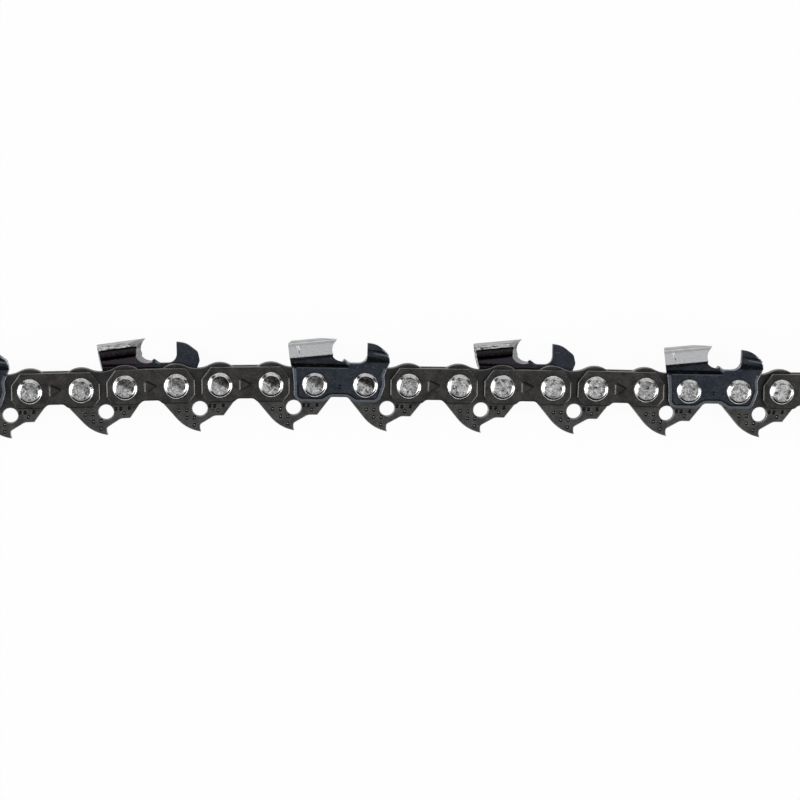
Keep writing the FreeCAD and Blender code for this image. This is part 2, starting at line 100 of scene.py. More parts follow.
# Cutter chassis: corners of its edge below the crease, from its rear and from its front rivet
CHASSIS_CREASE = 3.00
CHASSIS_REAR = (
    (-3.94, CHASSIS_CREASE, 0), (-3.60, 0, 1.00), (-3.60, -3.10, 1.90),
    (1.45, -3.10, 1.00), (2.97, -2.20, 1.00),
)
CHASSIS_FRONT = (
    (-3.25, -2.20, 1.00), (-1.73, -3.10, 1.00), (2.39, -3.10, 1.55),
    (3.45, 0, 1.00), (3.25, 1.75, 1.00), (3.81, CHASSIS_CREASE, 0),
)
CREASE_DEPTH = 0.05
COIN_WIDTH = 0.62
COIN_DEPTH = 0.15
COIN_STEP = 0.09
COIN_STEP_RUN = 0.11

# Cutter tooth
TIP_REACH = 3.94
TIP_HEIGHT = 8.12
TOP_SLOPE = 6.15
TOP_PLATE_WIDTH = 5.00
TOP_PLATE_EDGE = 0.78
TOP_PLATE_ROOT = 1.05
ROOT_FILLET = 0.45
SIDE_PLATE_HEIGHT = 2.62
CORNER_RADIUS = 0.50
PLATE_ROUND = 0.08
TOOTH_REAR = 4.84
TOOTH_REAR_LEAN = 0.55
REAR_SKEW = 9.0
FILING_ANGLE = 30.0
FILE_RADIUS = 2.15
FILE_SETBACK = 1.45
FILE_TILT = 10.0
JOGGLE_START = 0.08
JOGGLE_LOW = 0.60
JOGGLE_LOW_SHARE = 0.40
JOGGLE_HIGH = 0.42
JOGGLE_HIGH_SHARE = 0.58
BEND_RISE = 0.22
BEND_SOFTNESS = 0.11
BLEND_RUN = 1.20

# Cutter gullet and depth gauge: corners of the gauge from the front rivet, of the bump from the
# rear one, and the gauge's bends as a height over the gullet and how far the sheet stands out there
GULLET_FLOOR = 3.83
BUMP_REACH = 5.18
BUMP_BACK = 0.35
GAUGE_BACK = 0.22
GAUGE_CORNERS = (
    (4.24, 4.08, 1.00), (3.95, 5.58, 1.00), (1.94, 7.15, 6.00),
    (GAUGE_BACK, 7.42, 0.15), (GAUGE_BACK, GULLET_FLOOR, 1.60),
)
BUMP_CORNERS = (
    (BUMP_REACH + 1.00, GULLET_FLOOR, 1.00), (BUMP_REACH, 4.53, 0.08), (BUMP_REACH - BUMP_BACK, 4.23, 0),
)
GAUGE_BENDS = ((0.0, 0.0), (1.265, 0.42), (1.909, 0.48), (2.30, 0.60))
GAUGE_STEP = 0.60

# A struck mark across the side plate near its rear, as strokes, and where the mesh is finer
NICK_STROKES = (
    ((-3.30, 7.00), (-2.92, 6.12)), ((-2.98, 6.85), (-3.12, 6.55)), ((-2.90, 6.02), (-2.72, 5.55)),
)
NICK_WIDTH = 0.17
NICK_DEPTH = 0.08
NICK_REACH = 0.65 * NICK_WIDTH
NICK_AREA = ((-3.7, 5.0), (-2.0, 7.6))
FINE_AREA = ((-4.9, CHASSIS_CREASE - 0.15), (13.2, 8.2))

# Crease across the depth gauge: height over the rivets at its back, fall per length, and depth
GAUGE_CREASE = 6.22
GAUGE_CREASE_FALL = 0.17
GAUGE_CREASE_DEPTH = 0.07

# Rivet: radii, its hubs' play, and the head's profile as radius and height over the side link
HUB_RADIUS = 1.62
HUB_PLAY = 0.02
FLANGE_RADIUS = 2.05
HEAD_PROFILE = (
    (2.28, 0.00), (2.265, 0.07), (2.235, 0.17), (2.185, 0.27), (2.13, 0.36), (2.07, 0.43), (2.01, 0.482),
    (1.995, 0.493), (1.98, 0.504), (1.75, 0.667), (1.735, 0.678), (1.71, 0.696),
    (1.665, 0.730), (1.635, 0.748), (1.61, 0.748),
    (1.58, 0.72), (1.56, 0.66), (1.53, 0.64), (1.20, 0.645), (0.90, 0.65), (0.40, 0.645), (0.0, 0.635),
)
RIVET_SEGMENTS = 96
RIVET_FLAT = 1.59
RIVET_SLOPE = (1.74, 1.985)

# How dark the painted reflection on each rivet's disc is, rivet_01 first
RIVET_REFLECTION = (
    0.50, 0.60, 0.45, 0.35, 0.85, 0.70, 1.00, 1.00, 0.85, 1.00,
    0.25, 0.15, 0.05, 0.10, 0.10, 0.35, 0.20, 0.05, 0.05, 0.10,
)

# Fineness of the meshes, and how far the cutting tools stand over what they cut
ARC_STEP = 5.0
GRID = 0.28
DRIVE_GRID = 0.70
STRAP_GRID = 0.90
FINE_GRID = 0.13
FINEST_GRID = 0.055
EDGE_ROUND = 0.07
WEAR_WIDTH = 0.22
TOOL_MARGIN = 1.0
HIGH_MARGIN = 3.0
TUCK = 0.05
FILE_SIDES = 128
TOOL_DEPTH = TOP_PLATE_WIDTH + 2 * TOOL_MARGIN

# How deep under a face its worn edge reaches, how deep a point still counts as on it, and how
# far past its outer holes the painted highlight at a link's end begins and is full
WEAR_DEPTH = 0.35
FACE_BAND = 0.30
LINK_END = (2.4, 3.0)

# Rings of points along the edges of a sheet, by their distance from the edge
EDGE_RINGS = (0.012, 0.035, EDGE_ROUND, WEAR_WIDTH)
BEVEL_RINGS = tuple(STRAP_BEVEL_WIDTH + step for step in (-0.02, 0.0, 0.03))
STRAP_RINGS = (0.012, STRAP_ROUND, EDGE_ROUND) + BEVEL_RINGS
BORDER_STEPS = (-0.46, -0.32, -0.20, -0.11, -0.055, 0.0, 0.07, 0.14, 0.20)
BORDER_RINGS = tuple(COIN_WIDTH + step for step in BORDER_STEPS)

# Camera, fitted to the rivets and tang holes that the photo shows
CAMERA_TARGET = (2.409, -1.902, 3.284)
CAMERA_DISTANCE = 562.4
CAMERA_YAW = 4.138
CAMERA_TILT = 6.256
CAMERA_LENS = 143.94
SENSOR = 36.0

# The studio that the steel reflects: light levels round the chain by their angle from the X axis
SOFT_BOX = 2.2
STUDIO_RING = (
    (-180, 2.2), (-158, 2.2), (-146, 0.30), (-125, 0.20), (-70, 0.20), (-50, 0.30), (-38, 2.2), (0, 2.2),
    (6, 0.08), (34, 0.05), (42, 0.70), (116, 0.75), (122, 0.06), (144, 0.06), (150, 2.2), (180, 2.2),
)

# Where the white overhead starts and is full, the light on dull steel, the floor's glow, the lamps
OVERHEAD_FROM = 0.68
OVERHEAD_FULL = 0.84
DULL_LIGHT = 0.6
FLOOR_GLOW = 0.95
LAMP_SIZE = 0.35
LAMP_POWER = 2.0
LAMP_TARGET = (0, 0, 0.003)

# How far the noise of one piece can lie from that of another, and the rings on a rivet's flat middle
CHANCE_SPREAD = 37.0
TOOL_RINGS = 26.0
TOOL_SWAY = 16.0


def node_span(node):
    """A node's lowest and highest Z in millimetres."""
    low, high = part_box(node)
    return low.z / MM, high.z / MM


def hole_places():
    """Every hole along the run, from the free one at its rear to the free one at its front."""
    mounts = {mount["name"]: mount["pos_m"] for mount in frame["record"]["mounts"]}
    hinges = sorted((joint["name"], joint["pos_m"]) for joint in frame["joints"])
    spots = [mounts["rear_joining_bore"]] + [spot for _, spot in hinges] + [mounts["front_joining_bore"]]
    return [(x / MM, y / MM) for x, y, _ in spots]


# Sizes that the frame gives, and what follows from them
HOLES = hole_places()
MIDDLE = frame["record"]["mounts"][0]["pos_m"][2] / MM
DRIVE_HALF = node_span("drive_link_06")[1] - MIDDLE
SIDE_INNER = node_span("near_tie_strap_06")[0] - MIDDLE
SIDE_OUTER = node_span("near_tie_strap_06")[1] - MIDDLE
SIDE_GAUGE = SIDE_OUTER - SIDE_INNER
HALF_KERF = node_span("near_cutter_05")[1] - MIDDLE
DRIVE_SPACING = math.dist(HOLES[10], HOLES[11])
SIDE_SPACING = math.dist(HOLES[11], HOLES[12])
OUTER_HALF = SIDE_INNER + 0.5
GAUGE_FOOT = SIDE_SPACING + GAUGE_BACK


def polar(centre, radius, angle):
    """The point at an angle in degrees on a circle."""
    turn = math.radians(angle)
    return (centre[0] + radius * math.cos(turn), centre[1] + radius * math.sin(turn))


def arc_points(centre, radius, start, end):
    """Points from one angle to another on a circle, both ends included."""
    steps = max(2, math.ceil(abs(end - start) / ARC_STEP))
    return [polar(centre, radius, start + (end - start) * i / steps) for i in range(steps + 1)]


def holes(radius, spacing):
    """The outlines of a link's two holes."""
    return [circle((x, 0), radius) for x in (0, spacing)]


def circle(centre, radius, sides=72):
    """A hole's outline, clockwise, so that the sheet lies on its left."""
    return [polar(centre, radius, -360 * i / sides) for i in range(sides)]


def corner_arc(before, corner, after, radius):
    """The points that round one corner of an outline, held within half of its shorter side."""
    into = (corner[0] - before[0], corner[1] - before[1])
    out = (after[0] - corner[0], after[1] - corner[1])
    heading = math.atan2(into[1], into[0])
    turn = math.remainder(math.atan2(out[1], out[0]) - heading, 2 * math.pi)
    if radius == 0 or abs(turn) < 1e-3:
        return [corner]
    half = math.tan(abs(turn) / 2)
    reach = min(radius * half, math.hypot(*into) / 2, math.hypot(*out) / 2)
    side = math.copysign(math.pi / 2, turn)
    start = polar(corner, -reach, math.degrees(heading))
    centre = polar(start, reach / half, math.degrees(heading + side))
    first = math.degrees(heading - side)
    return arc_points(centre, reach / half, first, first + math.degrees(turn))


def around(count):
    """The pairs of neighbours in a closed ring of points."""
    return [(i, (i + 1) % count) for i in range(count)]


def rounded(corners):
    """An outline from its corners, each an X, a Y and the radius that rounds it."""
    spots = [(x, y) for x, y, _ in corners]
    after = spots[1:] + spots[:1]
    points = []
    for i, (_, _, radius) in enumerate(corners):
        points += corner_arc(spots[i - 1], spots[i], after[i], radius)
    return points


def along(corners, run):
    """Corners moved along a link."""
    return [(x + run, y, radius) for x, y, radius in corners]


def stroke_distance(points, strokes):
    """The distance from each point to the nearest of some straight strokes."""
    best = np.full(len(points), 1e9)
    for a, b in np.array(strokes):
        run = b - a
        t = np.clip(((points - a) @ run) / max(run @ run, 1e-12), 0, 1)
        best = np.minimum(best, np.hypot(*(points - a - t[:, None] * run).T))
    return best


def path_distance(points, path):
    """The distance from each point to an open path."""
    return stroke_distance(points, list(zip(path, path[1:])))


def loop_distance(points, loops):
    """The distance from each point to the nearest edge of some closed outlines."""
    return np.minimum.reduce([path_distance(points, loop + loop[:1]) for loop in loops])


def inside(points, loop):
    """Which points lie within a closed outline."""
    found = np.zeros(len(points), bool)
    for (ax, ay), (bx, by) in zip(loop, loop[1:] + loop[:1]):
        spans = (ay > points[:, 1]) != (by > points[:, 1])
        reach = ax + (points[:, 1] - ay) * (bx - ax) / (by - ay if by != ay else 1e-12)
        found ^= spans & (points[:, 0] < reach)
    return found


def in_sheet(points, loops):
    """Which points lie in the sheet: inside its outline and outside its holes."""
    found = inside(points, loops[0])
    for hole in loops[1:]:
        found &= ~inside(points, hole)
    return found


def divided(loop, step=0.45):
    """An outline with points added along its long straight edges."""
    points = []
    for (ax, ay), (bx, by) in zip(loop, loop[1:] + loop[:1]):
        count = max(1, math.ceil(math.hypot(bx - ax, by - ay) / step))
        points += [(ax + (bx - ax) * i / count, ay + (by - ay) * i / count) for i in range(count)]
    return points


def moved_inwards(loop, width):
    """Each corner of an outline moved to its left by a width, and not too far at a sharp one."""
    here = np.array(loop)
    run = here - np.roll(here, 1, axis=0)
    left = np.stack([-run[:, 1], run[:, 0]], 1) / np.linalg.norm(run, axis=1)[:, None]
    middle = left + np.roll(left, -1, axis=0)
    length = np.maximum((middle * left).sum(1), 0.4)
    return here + middle / length[:, None] * width


def hex_grid(low, high, spacing):
    """Points of a triangular grid over a box."""
    rows = np.arange(low[1], high[1], spacing * 0.866)
    points = []
    for i, y in enumerate(rows):
        xs = np.arange(low[0] + (i % 2) * spacing / 2, high[0], spacing)
        points.append(np.stack([xs, np.full(len(xs), y)], 1))
    return np.concatenate(points)


def rings_round(centre, radius, rings=6, sides=18):
    """Points on rings round a centre, for a pit's bowl and lip."""
    points = [np.array([centre])]
    for i in range(1, rings + 1):
        ring = radius * 1.25 * i / rings
        points.append(np.array([polar(centre, ring, 360 * j / sides + 10 * i) for j in range(sides)]))
    return np.concatenate(points)


def edge_rings(boundary, loops, rims, border, border_top):
    """Points on rings along every edge: rims all round, and border below a height."""
    rings = []
    for loop in boundary:
        for rim in rims + border:
            ring = moved_inwards(loop, rim)
            keep = (loop_distance(ring, loops) > 0.9 * rim) & in_sheet(ring, loops)
            if rim in border:
                keep &= ring[:, 1] < border_top
            rings.append(ring[keep])
    return rings


def flat_triangles(boundary, parts, loops):
    """Spots and counterclockwise triangles that fill a sheet, through the points of all its parts."""
    edges, start = [], 0
    for loop in boundary:
        edges += [(start + i, start + j) for i, j in around(len(loop))]
        start += len(loop)
    flat = [Vector(p) for p in np.concatenate(boundary + parts)]
    spots, _, faces, _, _, _ = delaunay_2d_cdt(flat, edges, [], 0, 1e-5)
    spots, faces = np.array([tuple(p) for p in spots]), np.array(faces)
    faces = faces[in_sheet(spots[faces].mean(1), loops)]
    a, b, c = (spots[faces[:, i]] for i in range(3))
    turned = np.cross(b - a, c - a) < 0
    faces[turned] = faces[turned][:, ::-1]
    return spots, faces


def sheet_mesh(loops, rims, near, far, spacing=GRID, extra=(), border=(), border_top=0.0):
    """Points and faces of a sheet. near and far give Z from X, Y and the distance to the edge.

    rims are distances of rings of points round every edge, and border those of more rings, which
    stay below a height. extra holds more points, in place of the plain grid's.
    """
    boundary = [np.array(divided(loop)) for loop in loops]
    parts = edge_rings(boundary, loops, rims, border, border_top)
    inmost = border[-1] if border else rims[-1]

    def clear(points, gap):
        """The points that lie in the sheet, past the rings by a gap."""
        points = points[in_sheet(points, loops)]
        ringed = np.where(points[:, 1] < border_top, inmost, rims[-1])
        return points[loop_distance(points, loops) > ringed + gap]

    grid = clear(hex_grid(boundary[0].min(0), boundary[0].max(0), spacing), 0.4 * spacing)
    for points in extra:
        low, high = points.min(0) - 0.05, points.max(0) + 0.05
        grid = grid[((grid < low) | (grid > high)).any(1)]
        parts.append(clear(points, 0.03))
    spots, faces = flat_triangles(boundary, parts + [grid], loops)

    x, y = spots.T
    distance = loop_distance(spots, loops)
    count = len(spots)
    top = np.stack([x, y, near(x, y, distance)], 1)
    bottom = np.stack([x, y, far(x, y, distance)], 1)
    sides = [(i, j) for face in faces for i, j in zip(face, np.roll(face, -1))]
    known = set(sides)
    walls = [(i, i + count, j + count, j) for i, j in sides if (j, i) not in known]
    polygons = [tuple(face) for face in faces] + [tuple(face[::-1] + count) for face in faces] + walls
    return np.concatenate([top, bottom]), polygons


def edge_drop(distance, radius=EDGE_ROUND):
    """How far a rounded edge falls at a distance from the edge."""
    gap = np.clip(radius - distance, 0, radius)
    return radius - np.sqrt(np.maximum(radius**2 - gap**2, 0))


def bell(distance, width):
    """1 at no distance, and falling softly to nothing at about twice a width."""
    return np.exp(-((distance / width) ** 2))


def pit_share(x, y, pit):
    """How far each place lies from a pit's middle, in radii of the pit."""
    return np.hypot(x - pit[0], y - pit[1]) / PIT_RADIUS


def pit_depth(x, y, pits):
    """The bowl of each pit, with a slight lip round it."""
    depth = np.zeros_like(x)
    for pit in pits:
        share = pit_share(x, y, pit)
        depth += np.clip(1 - share**2, 0, 1) ** 0.7 * PIT_DEPTH - PIT_LIP * bell(share - 1.1, 0.12)
    return depth


def drive_link_outline():
    """The drive link's outline from its rear ear, counterclockwise."""
    middle = DRIVE_SPACING / 2
    right = (DRIVE_SPACING, 0)
    saddle_radius = (middle**2 + SADDLE_HEIGHT**2 - EAR_RADIUS**2) / (2 * (EAR_RADIUS - SADDLE_HEIGHT))
    saddle = (middle, SADDLE_HEIGHT + saddle_radius)
    saddle_turn = math.degrees(math.atan2(saddle[1], middle))

    back_turn = 270 - TANG_SLOPE
    back = polar((0, 0), 1, back_turn)
    tip = (middle + HOOK_TIP_OFFSET, -TANG_DEPTH)
    reach = (EAR_RADIUS - BELLY_RADIUS - back[0] * tip[0] - back[1] * tip[1]) / BELLY_RADIUS
    tip_turn = back_turn - math.degrees(math.acos(reach)) + 180
    belly = polar(tip, -BELLY_RADIUS, tip_turn)

    lip = (middle + HOOK_FACE_OFFSET, HOOK_LIP - TANG_DEPTH)
    root = (lip[0], HOOK_HEIGHT - TANG_DEPTH)
    ramp_top = (middle + RAMP_TOP_OFFSET, -HEEL_DEPTH)
    heel = (DRIVE_SPACING + HEEL_REACH, -HEEL_DEPTH)
    away = math.atan2(heel[1], heel[0] - right[0]) + math.acos(EAR_RADIUS / math.dist(heel, right))
    front_turn = math.degrees(away)
    front = polar(right, EAR_RADIUS, front_turn)
    return (
        arc_points((0, 0), EAR_RADIUS, saddle_turn, back_turn)
        + arc_points(belly, BELLY_RADIUS, back_turn, tip_turn)
        + [lip]
        + corner_arc(lip, root, ramp_top, HOOK_ROOT_RADIUS)
        + corner_arc(root, ramp_top, heel, RAMP_TOP_RADIUS)
        + corner_arc(ramp_top, heel, front, HEEL_RADIUS)
        + arc_points(right, EAR_RADIUS, front_turn, 180 - saddle_turn)
        + arc_points(saddle, saddle_radius, 360 - saddle_turn, 180 + saddle_turn)[1:-1]
    )


def relief_hole():
    """The outline of the drive link's relief hole."""
    return circle((DRIVE_SPACING / 2 + RELIEF_OFFSET, -RELIEF_DEPTH), RELIEF_RADIUS)


def drive_link_mesh():
    """The drive link, with its bores, its relief hole and the oil pits in its near face."""
    loops = [drive_link_outline()] + holes(BORE_RADIUS, DRIVE_SPACING) + [relief_hole()]

    def near(x, y, distance):
        return DRIVE_HALF - edge_drop(distance) - pit_depth(x, y, DRIVE_PITS)

    def far(x, y, distance):
        return edge_drop(distance) - DRIVE_HALF

    bowls = [rings_round(pit, PIT_RADIUS) for pit in DRIVE_PITS]
    return sheet_mesh(loops, EDGE_RINGS, near, far, DRIVE_GRID, bowls)


def tie_strap_outline():
    """The tie strap's outline, counterclockwise, alike at both ends."""
    front = [(SIDE_SPACING - x, y, radius) for x, y, radius in reversed(STRAP_REAR)]
    return rounded(list(STRAP_REAR) + front)


def tie_strap_mesh():
    """The tie strap, with a bevel round its outer face and the direction mark in it."""
    loops = [tie_strap_outline()] + holes(HUB_RADIUS, SIDE_SPACING)

    def near(x, y, distance):
        spots = np.stack([x, y], 1)
        bevel = STRAP_BEVEL_DEPTH * np.clip(1 - loop_distance(spots, loops[:1]) / STRAP_BEVEL_WIDTH, 0, 1)
        groove = MARK_DEPTH * np.clip(1 - (stroke_distance(spots, MARK) / MARK_WIDTH) ** 2, 0, 1)
        return SIDE_OUTER - bevel - edge_drop(distance, STRAP_ROUND) - groove

    def far(x, y, distance):
        return SIDE_INNER + edge_drop(distance)

    return sheet_mesh(loops, STRAP_RINGS, near, far, STRAP_GRID, [hex_grid(*MARK_AREA, FINEST_GRID)])


def top_height(x):
    """Height of the top plate's outer face over the rivets at a place along the tooth."""
    return TIP_HEIGHT - math.tan(math.radians(TOP_SLOPE)) * (TIP_REACH - x)


def foot_height(x):
    """Height of the side plate's foot over the rivets at a place along the tooth."""
    return top_height(x) - SIDE_PLATE_HEIGHT


def chassis_edge():
    """The cutter's lower edge, from the crease at its rear round to the crease at its front."""
    return rounded(list(CHASSIS_REAR) + along(CHASSIS_FRONT, SIDE_SPACING))


def upper_edge():
    """The cutter's upper edge from the crease at its front, over the gauge and gullet, to its rear."""
    rear = -TOOTH_REAR - TOOL_MARGIN
    lip = BUMP_REACH - BUMP_BACK
    return rounded(along(CHASSIS_FRONT[-1:] + GAUGE_CORNERS, SIDE_SPACING) + list(BUMP_CORNERS) + [
        (lip, top_height(lip) - CORNER_RADIUS, 0),
        (rear, top_height(rear) - CORNER_RADIUS, 0),
        (rear, CHASSIS_CREASE, 0),
    ])


def eased(x, low, high):
    """A soft ramp from 0 to 1."""
    t = np.clip((x - low) / (high - low), 0, 1)
    return t * t * (3 - 2 * t)


def bent(height, bends):
    """Set-out at a height, through bends of a height and a set-out, rounded at each."""
    total = np.zeros_like(height)
    offsets = np.linspace(-BEND_SOFTNESS, BEND_SOFTNESS, 7)
    for offset in offsets:
        level = height + offset
        value = np.zeros_like(height) + bends[0][1]
        for (h0, s0), (h1, s1) in zip(bends, bends[1:]):
            value += (s1 - s0) * np.clip((level - h0) / (h1 - h0), 0, 1)
        total += value
    return total / len(offsets)


def set_out(x, y, rise):
    """How far the cutter's sheet stands out from the chassis at a place."""
    step = HALF_KERF - SIDE_OUTER
    low, foot = CHASSIS_CREASE + rise, foot_height(x) + rise
    tooth = bent(y, [
        (low + JOGGLE_START, 0.0),
        (low + JOGGLE_LOW, JOGGLE_LOW_SHARE * step),
        (foot - JOGGLE_HIGH, JOGGLE_HIGH_SHARE * step),
        (foot, step),
    ])
    gauge = bent(y - GULLET_FLOOR - rise, GAUGE_BENDS)
    in_tooth = 1 - eased(x, BUMP_REACH, BUMP_REACH + BLEND_RUN)
    return in_tooth * tooth + eased(x, GAUGE_FOOT - GAUGE_STEP, GAUGE_FOOT) * gauge


def outer_z(x, y):
    """Z of the cutter's outer face at a place."""
    return SIDE_OUTER + set_out(x, y, 0.0)


def inner_z(x, y):
    """Z of the cutter's inner face at a place."""
    return SIDE_INNER + set_out(x, y, BEND_RISE)


def over_crease(x, y):
    """How far a place lies over the crease across the depth gauge."""
    return y - GAUGE_CREASE + GAUGE_CREASE_FALL * (x - GAUGE_FOOT)


def cutter_sheet_mesh():
    """The cutter's sheet, from the chassis up to the top plate's corner and the depth gauge."""
    lower = chassis_edge()
    loops = [lower + upper_edge()[1:]] + holes(HUB_RADIUS, SIDE_SPACING)

    def near(x, y, distance):
        spots = np.stack([x, y], 1)
        gap = COIN_WIDTH - path_distance(spots, lower)
        coin = COIN_STEP * eased(gap, 0, COIN_STEP_RUN)
        coin += (COIN_DEPTH - COIN_STEP) * np.clip(gap / COIN_WIDTH, 0, 1)
        coin *= 1 - eased(y, CHASSIS_CREASE - 0.05, CHASSIS_CREASE + 0.12)
        crease = CREASE_DEPTH * bell(y - CHASSIS_CREASE, 0.09)
        nick = NICK_DEPTH * np.clip(1 - stroke_distance(spots, NICK_STROKES) / NICK_WIDTH, 0, 1)
        fold = GAUGE_CREASE_DEPTH * bell(over_crease(x, y), 0.12)
        fold *= eased(x, GAUGE_FOOT - 0.2, GAUGE_FOOT)
        marks = crease + nick + fold + pit_depth(x, y, CUTTER_PITS)
        return outer_z(x, y) - coin - marks - edge_drop(distance)

    def far(x, y, distance):
        return inner_z(x, y) + edge_drop(distance)

    fine = hex_grid(*FINE_AREA, FINE_GRID)
    fine = fine[stroke_distance(fine, NICK_STROKES) > 2.5 * NICK_WIDTH]
    finest = hex_grid(*NICK_AREA, FINEST_GRID)
    finest = finest[stroke_distance(finest, NICK_STROKES) < 2.3 * NICK_WIDTH]
    extra = [np.concatenate([fine, finest])] + [rings_round(pit, PIT_RADIUS) for pit in CUTTER_PITS]
    return sheet_mesh(loops, EDGE_RINGS, near, far, GRID, extra, BORDER_RINGS, CHASSIS_CREASE)


def top_plate_mesh():
    """The tooth's top plate with its rounded corner, its lower edge tucked into the side plate."""
    side_inner = HALF_KERF - SIDE_GAUGE
    edge = HALF_KERF - TOP_PLATE_WIDTH + PLATE_ROUND
    sections = []
    for x in np.linspace(-TOOTH_REAR - TOOL_MARGIN, BUMP_REACH, 12):
        top = top_height(x)
        corner = (HALF_KERF - CORNER_RADIUS, top - CORNER_RADIUS)
        fillet = (side_inner - ROOT_FILLET, top - TOP_PLATE_ROOT - ROOT_FILLET)
        ring = arc_points(corner, CORNER_RADIUS, 0, 90)
        ring += arc_points((edge, top - PLATE_ROUND), PLATE_ROUND, 90, 180)
        ring += arc_points((edge, top - TOP_PLATE_EDGE + PLATE_ROUND), PLATE_ROUND, 180, 270)
        ring += arc_points(fillet, ROOT_FILLET, 90, 0)
        low = fillet[1] - 2 * TUCK
        ring += [(side_inner + TUCK, low), (HALF_KERF - TUCK, low), (HALF_KERF - TUCK, top - CORNER_RADIUS)]
        sections.append([(x, height, z) for z, height in ring])
    return loft_mesh(sections)


def loft_mesh(sections):
    """A closed body through sections of as many points each."""
    count = len(sections[0])
    last = (len(sections) - 1) * count
    faces = []
    for a in range(0, last, count):
        faces += [(a + i, a + count + i, a + count + j, a + j) for i, j in around(count)]
    faces.append(tuple(range(count)))
    faces.append(tuple(last + i for i in reversed(range(count))))
    return np.array([point for section in sections for point in section]), faces


def slanted_prism_mesh(outline, angle, drop=0.0):
    """An outline over the tooth's outer face, drawn inwards, back at an angle and down by a drop."""
    high = HALF_KERF + TOOL_MARGIN
    shift = math.tan(math.radians(angle)) * TOOL_DEPTH
    low = [(x + shift, y - drop, high - TOOL_DEPTH) for x, y in outline]
    return loft_mesh([[(x, y, high) for x, y in outline], low])


def file_meshes():
    """The room that a round file takes, as the file's own bar and the open room over it.

    The file goes in lower than it comes out, and touches the tip.
    """
    slant, tilt = math.radians(FILING_ANGLE), math.radians(FILE_TILT)
    back, down = math.sin(slant) * math.cos(tilt), math.sin(tilt)
    direction = Vector((-back, -down, -math.cos(slant) * math.cos(tilt)))
    lean = FILE_SETBACK * back * down
    room = FILE_RADIUS**2 - FILE_SETBACK**2 * (1 - back**2)
    rise = (math.sqrt(lean**2 + room * (1 - down**2)) - lean) / (1 - down**2)
    drop = math.tan(tilt) / math.cos(slant)
    level = TIP_HEIGHT - rise + drop * TOOL_MARGIN
    start = TIP_REACH + math.tan(slant) * TOOL_MARGIN
    across = direction.cross(Vector((0, 1, 0))).normalized()
    upright = across.cross(direction)
    bar = []
    for i in range(FILE_SIDES):
        turn = 2 * math.pi * i / FILE_SIDES
        spot = (across * math.cos(turn) + upright * math.sin(turn)) * FILE_RADIUS
        spot -= direction * (spot.z / direction.z)
        bar.append((start + FILE_SETBACK + spot.x, level + spot.y))
    end = start + BUMP_REACH - TIP_REACH + math.tan(slant) * TOP_PLATE_WIDTH
    high = TIP_HEIGHT + HIGH_MARGIN + drop * TOOL_DEPTH
    above = [(start, level), (end, level), (end, high), (start, high)]
    return [slanted_prism_mesh(shape, -FILING_ANGLE, drop * TOOL_DEPTH) for shape in (bar, above)]


def behind_bump_mesh():
    """A block that reaches from behind the tooth to the bump, where the file stops."""
    lip, wide, reach, high = BUMP_REACH - BUMP_BACK, 2 * HALF_KERF, 20, 30
    outline = [(lip - reach, -reach), (lip, -reach), (lip, high), (lip - reach, high)]
    return loft_mesh([[(x, y, z) for x, y in outline] for z in (wide, -wide)])


def rear_mesh():
    """What is trimmed off behind the tooth, down to the crease."""
    edge = -TOOTH_REAR - math.tan(math.radians(REAR_SKEW)) * TOOL_MARGIN
    top = (edge, top_height(-TOOTH_REAR))
    foot = (edge + TOOTH_REAR_LEAN, CHASSIS_CREASE)
    high, away = TIP_HEIGHT + HIGH_MARGIN, edge - HIGH_MARGIN
    return slanted_prism_mesh([(edge, high), (away, high), (away, CHASSIS_CREASE), foot, top], REAR_SKEW)


def rivet_mesh():
    """The turned rivet: a flange, two hubs and two spun heads, round about its axis."""
    hub, count = HUB_RADIUS - HUB_PLAY, RIVET_SEGMENTS
    upper = [(FLANGE_RADIUS, 0.0), (FLANGE_RADIUS, SIDE_INNER), (hub, SIDE_INNER), (hub, SIDE_OUTER)]
    upper += [(radius, SIDE_OUTER + height) for radius, height in HEAD_PROFILE]
    profile = [(radius, -z) for radius, z in reversed(upper[1:])] + upper
    points = [(0.0, 0.0, profile[0][1])]
    for radius, z in profile[1:-1]:
        points += [(*polar((0, 0), radius, 360 * i / count), z) for i in range(count)]
    points.append((0.0, 0.0, profile[-1][1]))
    last = len(points) - 1
    faces = [(0, 1 + j, 1 + i) for i, j in around(count)]
    for a in range(1, last - count, count):
        faces += [(a + i, a + j, a + count + j, a + count + i) for i, j in around(count)]
    faces += [(last - count + i, last - count + j, last) for i, j in around(count)]
    return np.array(points), faces


def new_mesh(name, shape, *finishes):
    """A Blender mesh in metres from a shape's points in millimetres, with the finishes it may use."""
    points, faces = shape
    mesh = bpy.data.meshes.new(name)
    mesh.from_pydata([tuple(p) for p in np.asarray(points) * MM], [], [tuple(map(int, f)) for f in faces])
    mesh.update()
    for finish in finishes:
        mesh.materials.append(MATERIALS[finish])
    return mesh


def mesh_points(mesh):
    """A mesh's points in millimetres."""
    points = np.zeros(len(mesh.vertices) * 3)
    mesh.vertices.foreach_get("co", points)
    return points.reshape(-1, 3) / MM


def new_object(name, mesh):
    """An object in the scene that holds a mesh."""
    piece = bpy.data.objects.new(name, mesh)
    bpy.context.scene.collection.objects.link(piece)
    return piece


def carved(name, mesh, tools, operation="DIFFERENCE"):
    """A mesh with the tools' shapes cut out of it, or kept to them."""
    piece = new_object(name, mesh)
    for tool in tools:
        cut = piece.modifiers.new("cut", "BOOLEAN")
        cut.object = tool
        cut.operation = operation
        cut.solver = "EXACT"
        cut.material_mode = "TRANSFER"
    graph = bpy.context.evaluated_depsgraph_get()
    result = bpy.data.meshes.new_from_object(piece.evaluated_get(graph))
    bpy.data.objects.remove(piece)
    return result


